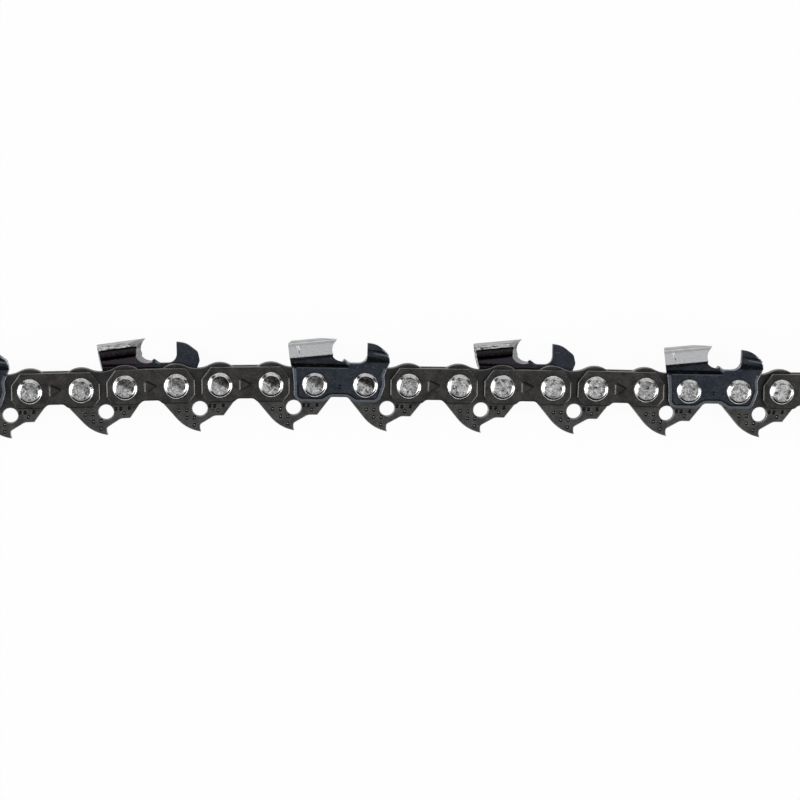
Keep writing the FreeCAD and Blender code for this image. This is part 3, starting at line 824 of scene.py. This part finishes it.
def joined(meshes):
    """Several meshes as one, each keeping its materials."""
    pieces = [new_object("piece", mesh) for mesh in meshes]
    with bpy.context.temp_override(active_object=pieces[0], selected_editable_objects=pieces):
        bpy.ops.object.join()
    mesh = pieces[0].data
    bpy.data.objects.remove(pieces[0])
    return mesh


def finished(mesh, angle=32, **values):
    """A mesh with a number at each point, under each name, for its material to read.

    Its shading is smooth, and breaks at edges sharper than an angle.
    """
    for name, numbers in values.items():
        attribute = mesh.attributes.new(name, "FLOAT", "POINT")
        attribute.data.foreach_set("value", numbers.astype(np.float32))
    mesh.shade_smooth()
    mesh.set_sharp_from_angle(angle=math.radians(angle))
    return mesh


def rgba(colour):
    """A colour with its alpha, from a colour or a level of grey."""
    return (*((colour,) * 3 if isinstance(colour, (int, float)) else colour), 1)


class Tree:
    """A node tree, with short calls to add to it."""

    def __init__(self, tree):
        self.tree = tree

    def add(self, kind, inputs=(), **settings):
        """A new node. inputs gives what its sockets are set to, or linked to."""
        node = self.tree.nodes.new("ShaderNode" + kind)
        for name, value in settings.items():
            setattr(node, name, value)
        for name, value in dict(inputs).items():
            self.fill(node.inputs[name], value)
        return node

    def fill(self, socket, value):
        """Links another socket to a socket, or sets it to a value."""
        if isinstance(value, bpy.types.NodeSocket):
            self.tree.links.new(value, socket)
        else:
            socket.default_value = value

    def number(self, operation, *values):
        """What an operation makes of numbers or sockets."""
        return self.add("Math", dict(enumerate(values)), operation=operation).outputs[0]

    def blended(self, share, first, second):
        """Two numbers or sockets mixed by a share."""
        return self.add("Mix", {0: share, 2: first, 3: second}).outputs[0]

    def ramp(self, value, stops):
        """A colour or grey ramp over a value, from stops of a place and a colour."""
        node = self.add("ValToRGB", {"Fac": value})
        points = node.color_ramp.elements
        while len(points) < len(stops):
            points.new(0.5)
        for point, (place, colour) in zip(points, stops):
            point.position = place
            point.color = rgba(colour)
        return node.outputs["Color"]

    def rays(self, *kinds):
        """1 for a ray of one of some kinds, and 0 for any other."""
        path = self.add("LightPath").outputs
        total = path[kinds[0]]
        for kind in kinds[1:]:
            total = self.number("MAXIMUM", total, path[kind])
        return total


class Shader(Tree):
    """A material of its own, with short calls to add to it."""

    def __init__(self, name, metallic=1.0, roughness=0.4):
        self.material = bpy.data.materials.new(name)
        self.material.use_nodes = True
        super().__init__(self.material.node_tree)
        self.surface = self.tree.nodes["Principled BSDF"]
        self.surface.inputs["Metallic"].default_value = metallic
        self.surface.inputs["Roughness"].default_value = roughness

    def scaled(self, x, y, z):
        """Places in millimetres, stretched, and shifted by the piece's own random number."""
        place = self.add("TexCoord").outputs["Object"]
        stretch = self.add("Mapping", {"Vector": place, "Scale": (x / MM, y / MM, z / MM)})
        chance = self.add("ObjectInfo").outputs["Random"]
        shift = {0: stretch.outputs["Vector"], 1: self.number("MULTIPLY", chance, CHANCE_SPREAD)}
        return self.add("VectorMath", shift, operation="ADD").outputs[0]

    def noise(self, scale, detail=4.0, roughness=0.6, stretch=(1, 1, 1), distortion=0.0):
        """Noise with so many features to a millimetre."""
        return self.add("TexNoise", {
            "Vector": self.scaled(*stretch), "Scale": scale, "Detail": detail,
            "Roughness": roughness, "Distortion": distortion,
        }).outputs["Fac"]

    def mixed(self, share, first, second, kind="MIX"):
        """Two colours, greys or sockets mixed by a share."""
        node = self.add("Mix", data_type="RGBA", blend_type=kind)
        sockets = {socket.name: socket for socket in node.inputs if socket.enabled}
        self.fill(sockets["Factor"], share)
        for name, value in (("A", first), ("B", second)):
            self.fill(sockets[name], value if isinstance(value, bpy.types.NodeSocket) else rgba(value))
        return [socket for socket in node.outputs if socket.enabled][0]

    def attribute(self, name):
        """The number that a piece's mesh holds under a name."""
        return self.add("Attribute", attribute_name=name).outputs["Fac"]

    def finish(self, colour, roughness, height, depth):
        """The material, with its colour, its roughness, and a height as bumps of a depth."""
        bump = self.add("Bump", {"Height": height, "Strength": 1.0, "Distance": depth * MM})
        self.fill(self.surface.inputs["Base Color"], colour)
        self.fill(self.surface.inputs["Roughness"], roughness)
        self.fill(self.surface.inputs["Normal"], bump.outputs["Normal"])
        return self.material

    def grained(self, colour, grain, low, high, depth):
        """The material, with its colour, and a grain that gives its roughness and its bumps."""
        return self.finish(colour, self.ramp(grain, [(0.3, low), (0.7, high)]), grain, depth)


def dark_steel(name, low, high, speck):
    """Oil-blackened rolled steel: clouds of brown and grey, fine grain, light specks, painted shade, worn
    edges and painted highlights.
    """
    shader = Shader(name)
    grain = shader.noise(2.6, 4.0, 0.7, (0.8, 1.6, 1.0))
    base = shader.ramp(shader.noise(0.6), [(0.34, low), (0.66, high)])
    base = shader.mixed(0.55, base, shader.ramp(grain, [(0.36, 0.28), (0.64, 0.72)]), "OVERLAY")
    specks = shader.ramp(shader.noise(3.4, 3.0, 0.7), [(0.66, 0.0), (0.76, speck)])
    base = shader.mixed(specks, base, 0.20)
    # Painted shade where the mesh's shade numbers say.
    base = shader.mixed(shader.attribute("shade"), base, 0.012)
    # Worn edges and painted highlights where the mesh's numbers say.
    worn_and_lit = shader.ramp(shader.attribute("wear"), [(0.35, 0.0), (0.80, 1.0)])
    worn_and_lit = shader.mixed(1.0, worn_and_lit, shader.ramp(grain, [(0.32, 0.45), (0.55, 1.0)]), "MULTIPLY")
    colour = shader.mixed(worn_and_lit, base, (0.25, 0.245, 0.24))
    return shader.grained(colour, grain, 0.34, 0.50, 0.02)


def blued_steel():
    """Blued sheet steel of the cutters: painted shade in its bends and inside, brown inside the tooth, worn
    edges, painted highlights.
    """
    shader = Shader("blued_steel")
    grain = shader.noise(2.4, 4.0, 0.65, (0.6, 2.2, 1.0))
    base = shader.ramp(shader.noise(0.5, 3.0), [(0.34, (0.021, 0.025, 0.032)), (0.66, (0.032, 0.037, 0.046))])
    base = shader.mixed(0.45, base, shader.ramp(grain, [(0.36, 0.32), (0.64, 0.70)]), "OVERLAY")
    base = shader.mixed(shader.attribute("brown"), base, (0.034, 0.027, 0.033))
    # Painted shade where the mesh's shade numbers say: bends, border step, pit and the inside of the tooth.
    dark = shader.mixed(1.0, base, (0.28, 0.24, 0.22), "MULTIPLY")
    base = shader.mixed(shader.attribute("shade"), base, dark)
    specks = shader.ramp(shader.noise(2.6, 3.0, 0.7), [(0.59, 0.0), (0.68, 0.35)])
    base = shader.mixed(specks, base, (0.12, 0.14, 0.16))
    # Worn edges and painted highlights where the mesh's numbers say.
    worn_and_lit = shader.ramp(shader.attribute("wear"), [(0.20, 0.0), (0.85, 0.38), (1.0, 1.0)])
    worn_and_lit = shader.mixed(1.0, worn_and_lit, shader.ramp(grain, [(0.30, 0.55), (0.55, 1.0)]), "MULTIPLY")
    colour = shader.mixed(worn_and_lit, base, (0.62, 0.68, 0.74))
    return shader.grained(colour, grain, 0.28, 0.40, 0.014)


def chrome_plate():
    """Hard chrome on the outside of the tooth: pale, slightly grained, not a mirror."""
    shader = Shader("chrome_plate")
    grain = shader.noise(3.2, 5.0, 0.7, (0.8, 1.4, 1.0))
    base = shader.ramp(grain, [(0.30, (0.32, 0.325, 0.335)), (0.70, (0.51, 0.515, 0.525))])
    # Painted highlights: the top of the plate and the struck mark's bright strokes.
    base = shader.mixed(shader.attribute("wear"), base, 0.92)
    # Painted shade: the struck mark's dark stroke and a dark line along the corner.
    colour = shader.mixed(shader.attribute("shade"), base, (0.10, 0.10, 0.11))
    return shader.grained(colour, grain, 0.36, 0.50, 0.016)


def filed_steel():
    """Steel where the file has cut it: grey, with the file's fine strokes across."""
    shader = Shader("filed_steel")
    strokes = shader.noise(2.6, 3.0, 0.7, (3.0, 0.8, 0.8))
    colour = shader.ramp(strokes, [(0.36, (0.19, 0.19, 0.192)), (0.64, (0.34, 0.34, 0.343))])
    return shader.grained(colour, strokes, 0.36, 0.50, 0.01)


def sheared_steel():
    """Steel at the tooth's cut edges: light, torn along the edge, with dark streaks."""
    shader = Shader("sheared_steel")
    strokes = shader.noise(2.2, 3.0, 0.7, (3.0, 0.8, 0.8))
    stain = shader.noise(1.5, 4.0, 0.7, (0.45, 2.2, 1.0))
    base = shader.ramp(strokes, [(0.35, (0.27, 0.27, 0.275)), (0.65, (0.48, 0.48, 0.485))])
    base = shader.mixed(shader.ramp(stain, [(0.42, 1.0), (0.50, 0.0)]), base, (0.05, 0.05, 0.052))
    base = shader.mixed(shader.ramp(stain, [(0.55, 0.0), (0.61, 0.8)]), base, (0.72, 0.72, 0.725))
    return shader.grained(base, strokes, 0.32, 0.46, 0.015)


def rivet_steel():
    """Bright spun steel: tool rings, smudges and small dents in the flat middle, a painted dark reflection
    and a painted dark arc.
    """
    shader = Shader("rivet_steel")
    smudge = shader.noise(1.7, 4.0, 0.65, distortion=1.0)
    middle = shader.ramp(smudge, [(0.37, 0.05), (0.44, 0.23), (0.54, 0.45), (0.66, 0.74)])
    sway = shader.number("MULTIPLY", smudge, TOOL_SWAY)
    turns = shader.number("MULTIPLY_ADD", shader.attribute("reach"), TOOL_RINGS, sway)
    wave = shader.ramp(shader.number("SINE", turns), [(0.0, 0.70), (0.6, 1.0)])
    middle = shader.mixed(0.6, middle, wave, "MULTIPLY")
    # Painted dark reflection on the flat middle, in smudged patches.
    patch = shader.ramp(smudge, [(0.45, 1.0), (0.66, 0.80)])
    patch = shader.mixed(1.0, patch, shader.attribute("stain"), "MULTIPLY")
    middle = shader.mixed(patch, middle, 0.012)
    ring = shader.ramp(smudge, [(0.34, 0.40), (0.60, 0.78)])
    # Painted dark arc under the ring, which is also rougher there.
    ring = shader.mixed(shader.attribute("oil"), ring, 0.01)
    colour = shader.mixed(shader.attribute("flat"), ring, middle)
    matt = shader.mixed(1.0, shader.attribute("flat"), shader.attribute("oil"), "ADD")
    return shader.finish(colour, shader.ramp(matt, [(0.0, 0.09), (1.0, 0.34)]), smudge, 0.05)


MATERIALS = {
    "drive_steel": dark_steel("drive_steel", (0.038, 0.038, 0.038), (0.071, 0.070, 0.069), 0.5),
    "strap_steel": dark_steel("strap_steel", (0.026, 0.025, 0.024), (0.051, 0.048, 0.045), 0.25),
    "blued_steel": blued_steel(), "chrome_plate": chrome_plate(),
    "filed_steel": filed_steel(), "sheared_steel": sheared_steel(), "rivet_steel": rivet_steel(),
}
CUTTER_FINISHES = ("blued_steel", "chrome_plate", "sheared_steel")


def edge_wear(points, loops, face_z):
    """How near each point is to an edge of the outer face, from 1 at the edge to 0."""
    near_edge = np.clip(1 - loop_distance(points[:, :2], loops) / WEAR_WIDTH, 0, 1)
    return near_edge * np.clip(1 - (face_z - points[:, 2]) / WEAR_DEPTH, 0, 1)


def mirrored(mesh):
    """A mesh mirrored in the middle plane."""
    other = mesh.copy()
    other.transform(Matrix.Diagonal((1, 1, -1, 1)))
    other.flip_normals()
    return other


def plain_link(name, shape, finish, wear, shade):
    """A link of one dark steel. Its two rules give each point's share of wear and painted highlight, and of
    painted shade, from its place.
    """
    mesh = new_mesh(name, shape, finish)
    points = mesh_points(mesh)
    return finished(mesh, wear=wear(points), shade=shade(points))


def drive_wear(points):
    """A drive link is worn at its edges, relief hole and pit lips, with a painted highlight in most pits."""
    x, y, z = points.T
    worn_and_lit = edge_wear(points, [drive_link_outline(), relief_hole()], DRIVE_HALF)
    for pit in DRIVE_PITS:
        share = pit_share(x, y, pit)
        # A worn lip round each pit, and a painted highlight in the middle of each pit but the darkest ones.
        lip = 0.6 * ((share > 1.0) & (share < 1.12)) + ((share < 0.30) & (pit not in DARK_PITS))
        worn_and_lit = np.maximum(worn_and_lit, lip * (z > 0))
    return worn_and_lit


def drive_shade(points):
    """Painted shade on a drive link between the side links' ends and in its pits; darker at its ear tops."""
    x, y, z = points.T
    between = eased(x, 1.6, 3.0) * eased(DRIVE_SPACING - x, 1.6, 3.0)
    shade = np.maximum(0.45 * between * eased(y, -3.6, -2.6), 0.28 * eased(y, 2.5, 3.0))
    for pit in DRIVE_PITS:
        share = pit_share(x, y, pit)
        least = -1 if pit in DARK_PITS else 0.35
        shade = np.maximum(shade, 0.95 * ((share > least) & (share < 0.95) & (z > 0)))
    return shade


def strap_wear(points):
    """A tie strap is worn at its edges, less along its foot, with a painted highlight in its mark's bar."""
    worn_and_lit = edge_wear(points, [tie_strap_outline()], SIDE_OUTER)
    worn_and_lit *= 0.45 + 0.55 * eased(points[:, 1], -2.9, -2.2)
    bar = stroke_distance(points[:, :2], MARK[:1]) < 0.6 * MARK_WIDTH
    return np.maximum(worn_and_lit, 0.62 * (bar & (points[:, 2] > OUTER_HALF)))


def strap_shade(points):
    """Painted shade in the strokes of a tie strap's mark, most in its upper one."""
    upper, lower = (stroke_distance(points[:, :2], [stroke]) < 0.7 * MARK_WIDTH for stroke in MARK[1:])
    return np.maximum(0.75 * upper, 0.25 * lower) * (points[:, 2] > OUTER_HALF)


def border_wear(points):
    """A cutter's border: a little worn all along it, with painted highlights at the link's two ends."""
    x = points[:, 0]
    rim = path_distance(points[:, :2], chassis_edge())
    at_end = eased(-x, *LINK_END) + eased(x - SIDE_SPACING, *LINK_END)
    ends = at_end * np.clip(1.5 - rim / WEAR_WIDTH, 0, 1)
    on_border = points[:, 1] < CHASSIS_CREASE - 0.05
    return on_border * np.maximum(0.385 * (COIN_WIDTH - rim > COIN_STEP_RUN - 0.02), 0.58 * ends)


def gauge_wear(points):
    """Painted highlights on a cutter's depth gauge: a streak under its crease, and its nose."""
    x, y = points[:, 0], points[:, 1]
    run = x - GAUGE_FOOT
    streak = 0.50 * bell(over_crease(x, y) + 0.42, 0.16) * eased(run, 0.4, 1.6)
    nose = np.clip(1.5 - path_distance(points[:, :2], upper_edge()) / 0.24, 0, 1)
    nose *= eased(run, 2.0, 2.8) * (0.6 + 0.4 * eased(y, 4.7, 5.0) * eased(-y, -6.5, -6.1))
    return eased(run, -0.2, 0.1) * eased(y, 4.6, 5.0) * np.maximum(streak, nose)


def cutter_wear(points):
    """A cutter's worn edges and border, with painted highlights on the border's ends, crease, gauge, plate
    top and struck mark.
    """
    x, y, z = points.T
    outer = z > outer_z(x, y) - FACE_BAND
    worn_and_lit = edge_wear(points, [chassis_edge() + upper_edge()[1:]], outer_z(x, y))
    worn_and_lit *= 1 - 0.8 * eased(x, SIDE_SPACING - 0.3, SIDE_SPACING) * eased(y, 4.2, 5.2)
    # Painted highlight: a light line just under the chassis crease, fading out towards the front.
    line = 0.6 * bell(y - CHASSIS_CREASE + 0.10, 0.07) * (1 - eased(x, 5.5, 7.0))
    for more in (border_wear(points), line, gauge_wear(points)):
        worn_and_lit = np.maximum(worn_and_lit, outer * more)
    # Painted highlights: the struck mark's bright strokes, and the top of the plate, lighter in slow waves
    # along it.
    bright = outer & (stroke_distance(points[:, :2], NICK_STROKES[:2]) < NICK_REACH)
    on_top = eased(y - top_height(x), -0.30, -0.12) * (0.50 + 0.15 * np.sin(2.1 * x))
    on_plate = (y > foot_height(x)) & (x < BUMP_REACH)
    return np.where(on_plate, np.where(bright, 1.0, on_top), worn_and_lit)


def bend_shade(x, y):
    """Painted shade in a cutter's bends: bands over the chassis crease and under the side plate's foot, one
    across the gauge, and a line on its crease.
    """
    under = eased(y - foot_height(x), -0.45, -0.15)
    over = y - CHASSIS_CREASE
    low = eased(over, 0, 0.08) * (1 - under) * (1 - 0.75 * eased(over, 0.5, 0.9))
    tooth = np.maximum(low, 0.7 * under) * (1 - eased(x - BUMP_REACH, 0, BLEND_RUN))
    rise = over_crease(x, y)
    bend = eased(y - GULLET_FLOOR, 0, 0.25) * (1 - eased(rise, -1.35, -0.85))
    gauge = np.maximum(0.9 * bend, bell(rise, 0.15))
    return np.maximum(tooth, gauge * eased(x - GAUGE_FOOT, -0.3, 0.1))


def cutter_shade(points):
    """Painted shade on a cutter: its bends, border step, pit, inside, struck mark and plate corner."""
    x, y, z = points.T
    spots = points[:, :2]
    outer = z > outer_z(x, y) - FACE_BAND
    rise = y - foot_height(x)
    gap = COIN_WIDTH - path_distance(spots, chassis_edge())
    # Painted shade: a dark line in the step of the coined border, on its lower part, and in the cutter's pit.
    groove = ((gap > -0.15) & (gap < 0.09)) * eased(-y, -1.5, 0.8)
    for pit in CUTTER_PITS:
        groove = np.maximum(groove, 0.9 * (pit_share(x, y, pit) < 0.55))
    shade = np.maximum(bend_shade(x, y), groove * (outer & (y < CHASSIS_CREASE)))

    # Painted shade on the inside of the tooth under the top plate, darkest just above the side plate's foot.
    inner = (z < inner_z(x, y) + FACE_BAND) & (y > CHASSIS_CREASE + 0.3)
    hollow = eased(rise, -0.4, 0.1) * (1 - 0.55 * eased(rise, 0.5, 0.9))
    shade = np.where(inner, hollow * (x < BUMP_REACH + 0.2), shade)
    # Painted shade: the dark stroke of the struck mark, and a dark line along the top plate's corner.
    struck = stroke_distance(spots, NICK_STROKES[2:]) < NICK_REACH
    struck &= stroke_distance(spots, NICK_STROKES[:2]) > NICK_REACH
    corner_line = 0.22 * bell(y - top_height(x) + 0.38, 0.08)
    on_plate = outer & (rise > 0) & (x < BUMP_REACH)
    return np.where(on_plate, np.where(struck, 0.9, corner_line), shade)


def cutter_link():
    """The near cutter: sheet and top plate, both cut by the file and behind."""
    bar, above = (new_mesh("file", shape, "filed_steel") for shape in file_meshes())
    rear = new_mesh("rear", rear_mesh(), "sheared_steel")
    stop = new_object("stop", new_mesh("stop", behind_bump_mesh(), "filed_steel"))
    bar = carved("bar", bar, [stop], "INTERSECT")
    bpy.data.objects.remove(stop)
    tools = [new_object("tool", mesh) for mesh in (bar, above, rear)]
    shapes = (("cutter_sheet", cutter_sheet_mesh()), ("top_plate", top_plate_mesh()))
    parts = [carved(name, new_mesh(name, shape, *CUTTER_FINISHES), tools) for name, shape in shapes]
    for tool in tools:
        bpy.data.objects.remove(tool)
    mesh = joined(parts)
    plate_with_chrome(mesh)
    points = mesh_points(mesh)
    x, y, z = points.T
    inside_tooth = (z < inner_z(x, y) + FACE_BAND) & (y > CHASSIS_CREASE) & (x < BUMP_REACH)
    return finished(mesh, wear=cutter_wear(points), shade=cutter_shade(points), brown=0.8 * inside_tooth)


def plate_with_chrome(mesh):
    """Gives the outside of the tooth its chrome, and the top plate's free edge its sheared steel."""
    blued, chrome, sheared = (mesh.materials.find(name) for name in CUTTER_FINISHES)
    for face in mesh.polygons:
        if face.material_index != blued:
            continue
        x, y, z = face.center / MM
        top = top_height(x)
        on_side = z > SIDE_OUTER + FACE_BAND and face.normal.z > 0.3 and y > foot_height(x) - 0.02
        on_top = face.normal.y > 0.5 and y > top - CORNER_RADIUS
        on_corner = y > top - CORNER_RADIUS - 0.02 and z > HALF_KERF - CORNER_RADIUS - 0.02
        if z < HALF_KERF - TOP_PLATE_WIDTH + 0.12 and y > top - TOP_PLATE_EDGE - 0.05:
            face.material_index = sheared
        elif x < BUMP_REACH and (on_side or on_top or on_corner):
            face.material_index = chrome


def rivet_link():
    """The rivet, whose points tell its flat middle, its painted dark reflection and its painted dark arc."""
    mesh = new_mesh("rivet", rivet_mesh(), "rivet_steel")
    x, y, z = mesh_points(mesh).T
    reach = np.hypot(x, y)
    low, high = RIVET_SLOPE
    slope = (reach > low) & (reach < high) & (np.abs(z) > SIDE_OUTER + 0.1)
    return finished(
        mesh, 40, flat=reach < RIVET_FLAT, reach=reach,
        # The first mark below places a painted dark reflection on the disc's upper side, the second a painted
        # dark arc under the ring's lower side.
        stain=eased(0.9 * y + 0.45 * x, -0.20, 0.30),
        oil=slope * eased(0.15 * x - y, 0.7, 0.95),
    )


def place_matrix(hole, link):
    """Where a piece of a link goes, from the hole that it starts at and the link that it turns with."""
    (ax, ay), (bx, by) = HOLES[link], HOLES[link + 1]
    spot = Matrix.Translation(Vector((HOLES[hole][0], HOLES[hole][1], MIDDLE)) * MM)
    return spot @ Matrix.Rotation(math.atan2(by - ay, bx - ax), 4, "Z")


def dress_run():
    """Puts a finished piece in the place of every node."""
    tie = plain_link("tie_strap", tie_strap_mesh(), "strap_steel", strap_wear, strap_shade)
    cutter = cutter_link()
    shapes = {
        "drive_link": plain_link("drive_link", drive_link_mesh(), "drive_steel", drive_wear, drive_shade),
        "near_tie_strap": tie, "far_tie_strap": mirrored(tie),
        "near_cutter": cutter, "far_cutter": mirrored(cutter), "rivet": rivet_link(),
    }
    for body, nodes in frame["record"]["behaviour"]["bodies"].items():
        link = 2 * int(body[-2:]) - (2 if body.startswith("drive") else 1)
        for node in nodes:
            kind = node[:-3]
            hole = int(node[-2:]) if kind == "rivet" else link
            mesh = shapes[kind].copy()
            if kind == "rivet":
                # Each rivet's painted dark reflection is as dark as its own entry.
                for point in mesh.attributes["stain"].data:
                    point.value *= RIVET_REFLECTION[hole - 1]
            mesh.transform(place_matrix(hole, link))
            piece = new_object(node + "_finished", mesh)
            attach(piece, body)
            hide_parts(node)


def add_camera():
    """The photo's view: nearly straight down on the side of the chain."""
    yaw, tilt = math.radians(CAMERA_YAW), math.radians(CAMERA_TILT)
    back = Vector((-math.sin(yaw) * math.cos(tilt), math.sin(tilt), math.cos(yaw) * math.cos(tilt)))
    right = Vector((0, 1, 0)).cross(back).normalized()
    turn = Matrix((right, back.cross(right), back)).transposed().to_4x4()
    data = bpy.data.cameras.new("camera")
    data.sensor_width, data.lens = SENSOR, CAMERA_LENS
    data.clip_start, data.clip_end = 0.01, 10
    camera = new_object("camera", data)
    camera.matrix_world = Matrix.Translation((Vector(CAMERA_TARGET) + back * CAMERA_DISTANCE) * MM) @ turn
    bpy.context.scene.camera = camera


def add_lamp(name, place):
    """A soft box that looks at the chain."""
    data = bpy.data.lights.new(name, "AREA")
    data.size, data.energy = LAMP_SIZE, LAMP_POWER
    lamp = new_object(name, data)
    lamp.location = place
    lamp.rotation_euler = (Vector(LAMP_TARGET) - Vector(place)).to_track_quat("-Z", "Y").to_euler()


def studio_light(tree):
    """What gloss sees: white overhead, a soft box at each end of the chain, and dimmer between them."""
    place = tree.add("TexCoord").outputs["Generated"]
    turned = tree.add("TexGradient", {"Vector": place}, gradient_type="RADIAL").outputs["Fac"]
    stops = [((angle + 180) / 360, level / SOFT_BOX) for angle, level in STUDIO_RING]
    ring = tree.add("MapRange", {"Value": tree.ramp(turned, stops), "To Min": 0, "To Max": SOFT_BOX})
    height = tree.add("SeparateXYZ", {0: place}).outputs["Z"]
    levels = {"Value": height, "From Min": OVERHEAD_FROM, "From Max": OVERHEAD_FULL}
    overhead = tree.add("MapRange", levels, interpolation_type="SMOOTHSTEP")
    return tree.blended(overhead.outputs["Result"], ring.outputs["Result"], 1.0)


def add_world():
    """A white world to look at, a studio for gloss to see, and a softer light for the rest."""
    world = bpy.data.worlds.new("studio")
    bpy.context.scene.world = world
    world.use_nodes = True
    tree = Tree(world.node_tree)
    background = tree.tree.nodes["Background"].inputs
    gloss = tree.blended(tree.rays("Is Glossy Ray"), DULL_LIGHT, studio_light(tree))
    strength = tree.blended(tree.rays("Is Camera Ray", "Is Transmission Ray"), gloss, 1.0)
    tree.fill(background["Strength"], strength)
    tree.fill(background["Color"], rgba(1))


def add_floor():
    """A pale floor that shows white and keeps the chain's shadow."""
    bpy.ops.mesh.primitive_plane_add(size=6, location=(0, 0, 0))
    floor = bpy.context.object
    floor.name = "floor"
    shader = Shader("floor", 0.0, 0.9)
    shader.surface.inputs["Base Color"].default_value = rgba(0.85)
    glow = shader.add("Emission", {"Color": rgba(1), "Strength": 1.0}).outputs["Emission"]
    seen = shader.rays("Is Camera Ray", "Is Glossy Ray", "Is Transmission Ray")
    share = shader.number("MULTIPLY", seen, FLOOR_GLOW)
    mix = shader.add("MixShader", {"Fac": share, 1: shader.surface.outputs["BSDF"], 2: glow})
    shader.fill(shader.tree.nodes["Material Output"].inputs["Surface"], mix.outputs["Shader"])
    floor.data.materials.append(shader.material)


dress_run()
add_camera()
add_world()
add_floor()
add_lamp("left", (-0.6, 0.05, 0.30))
add_lamp("right", (0.6, -0.2, 0.30))
bpy.context.scene.view_settings.view_transform = "Standard"
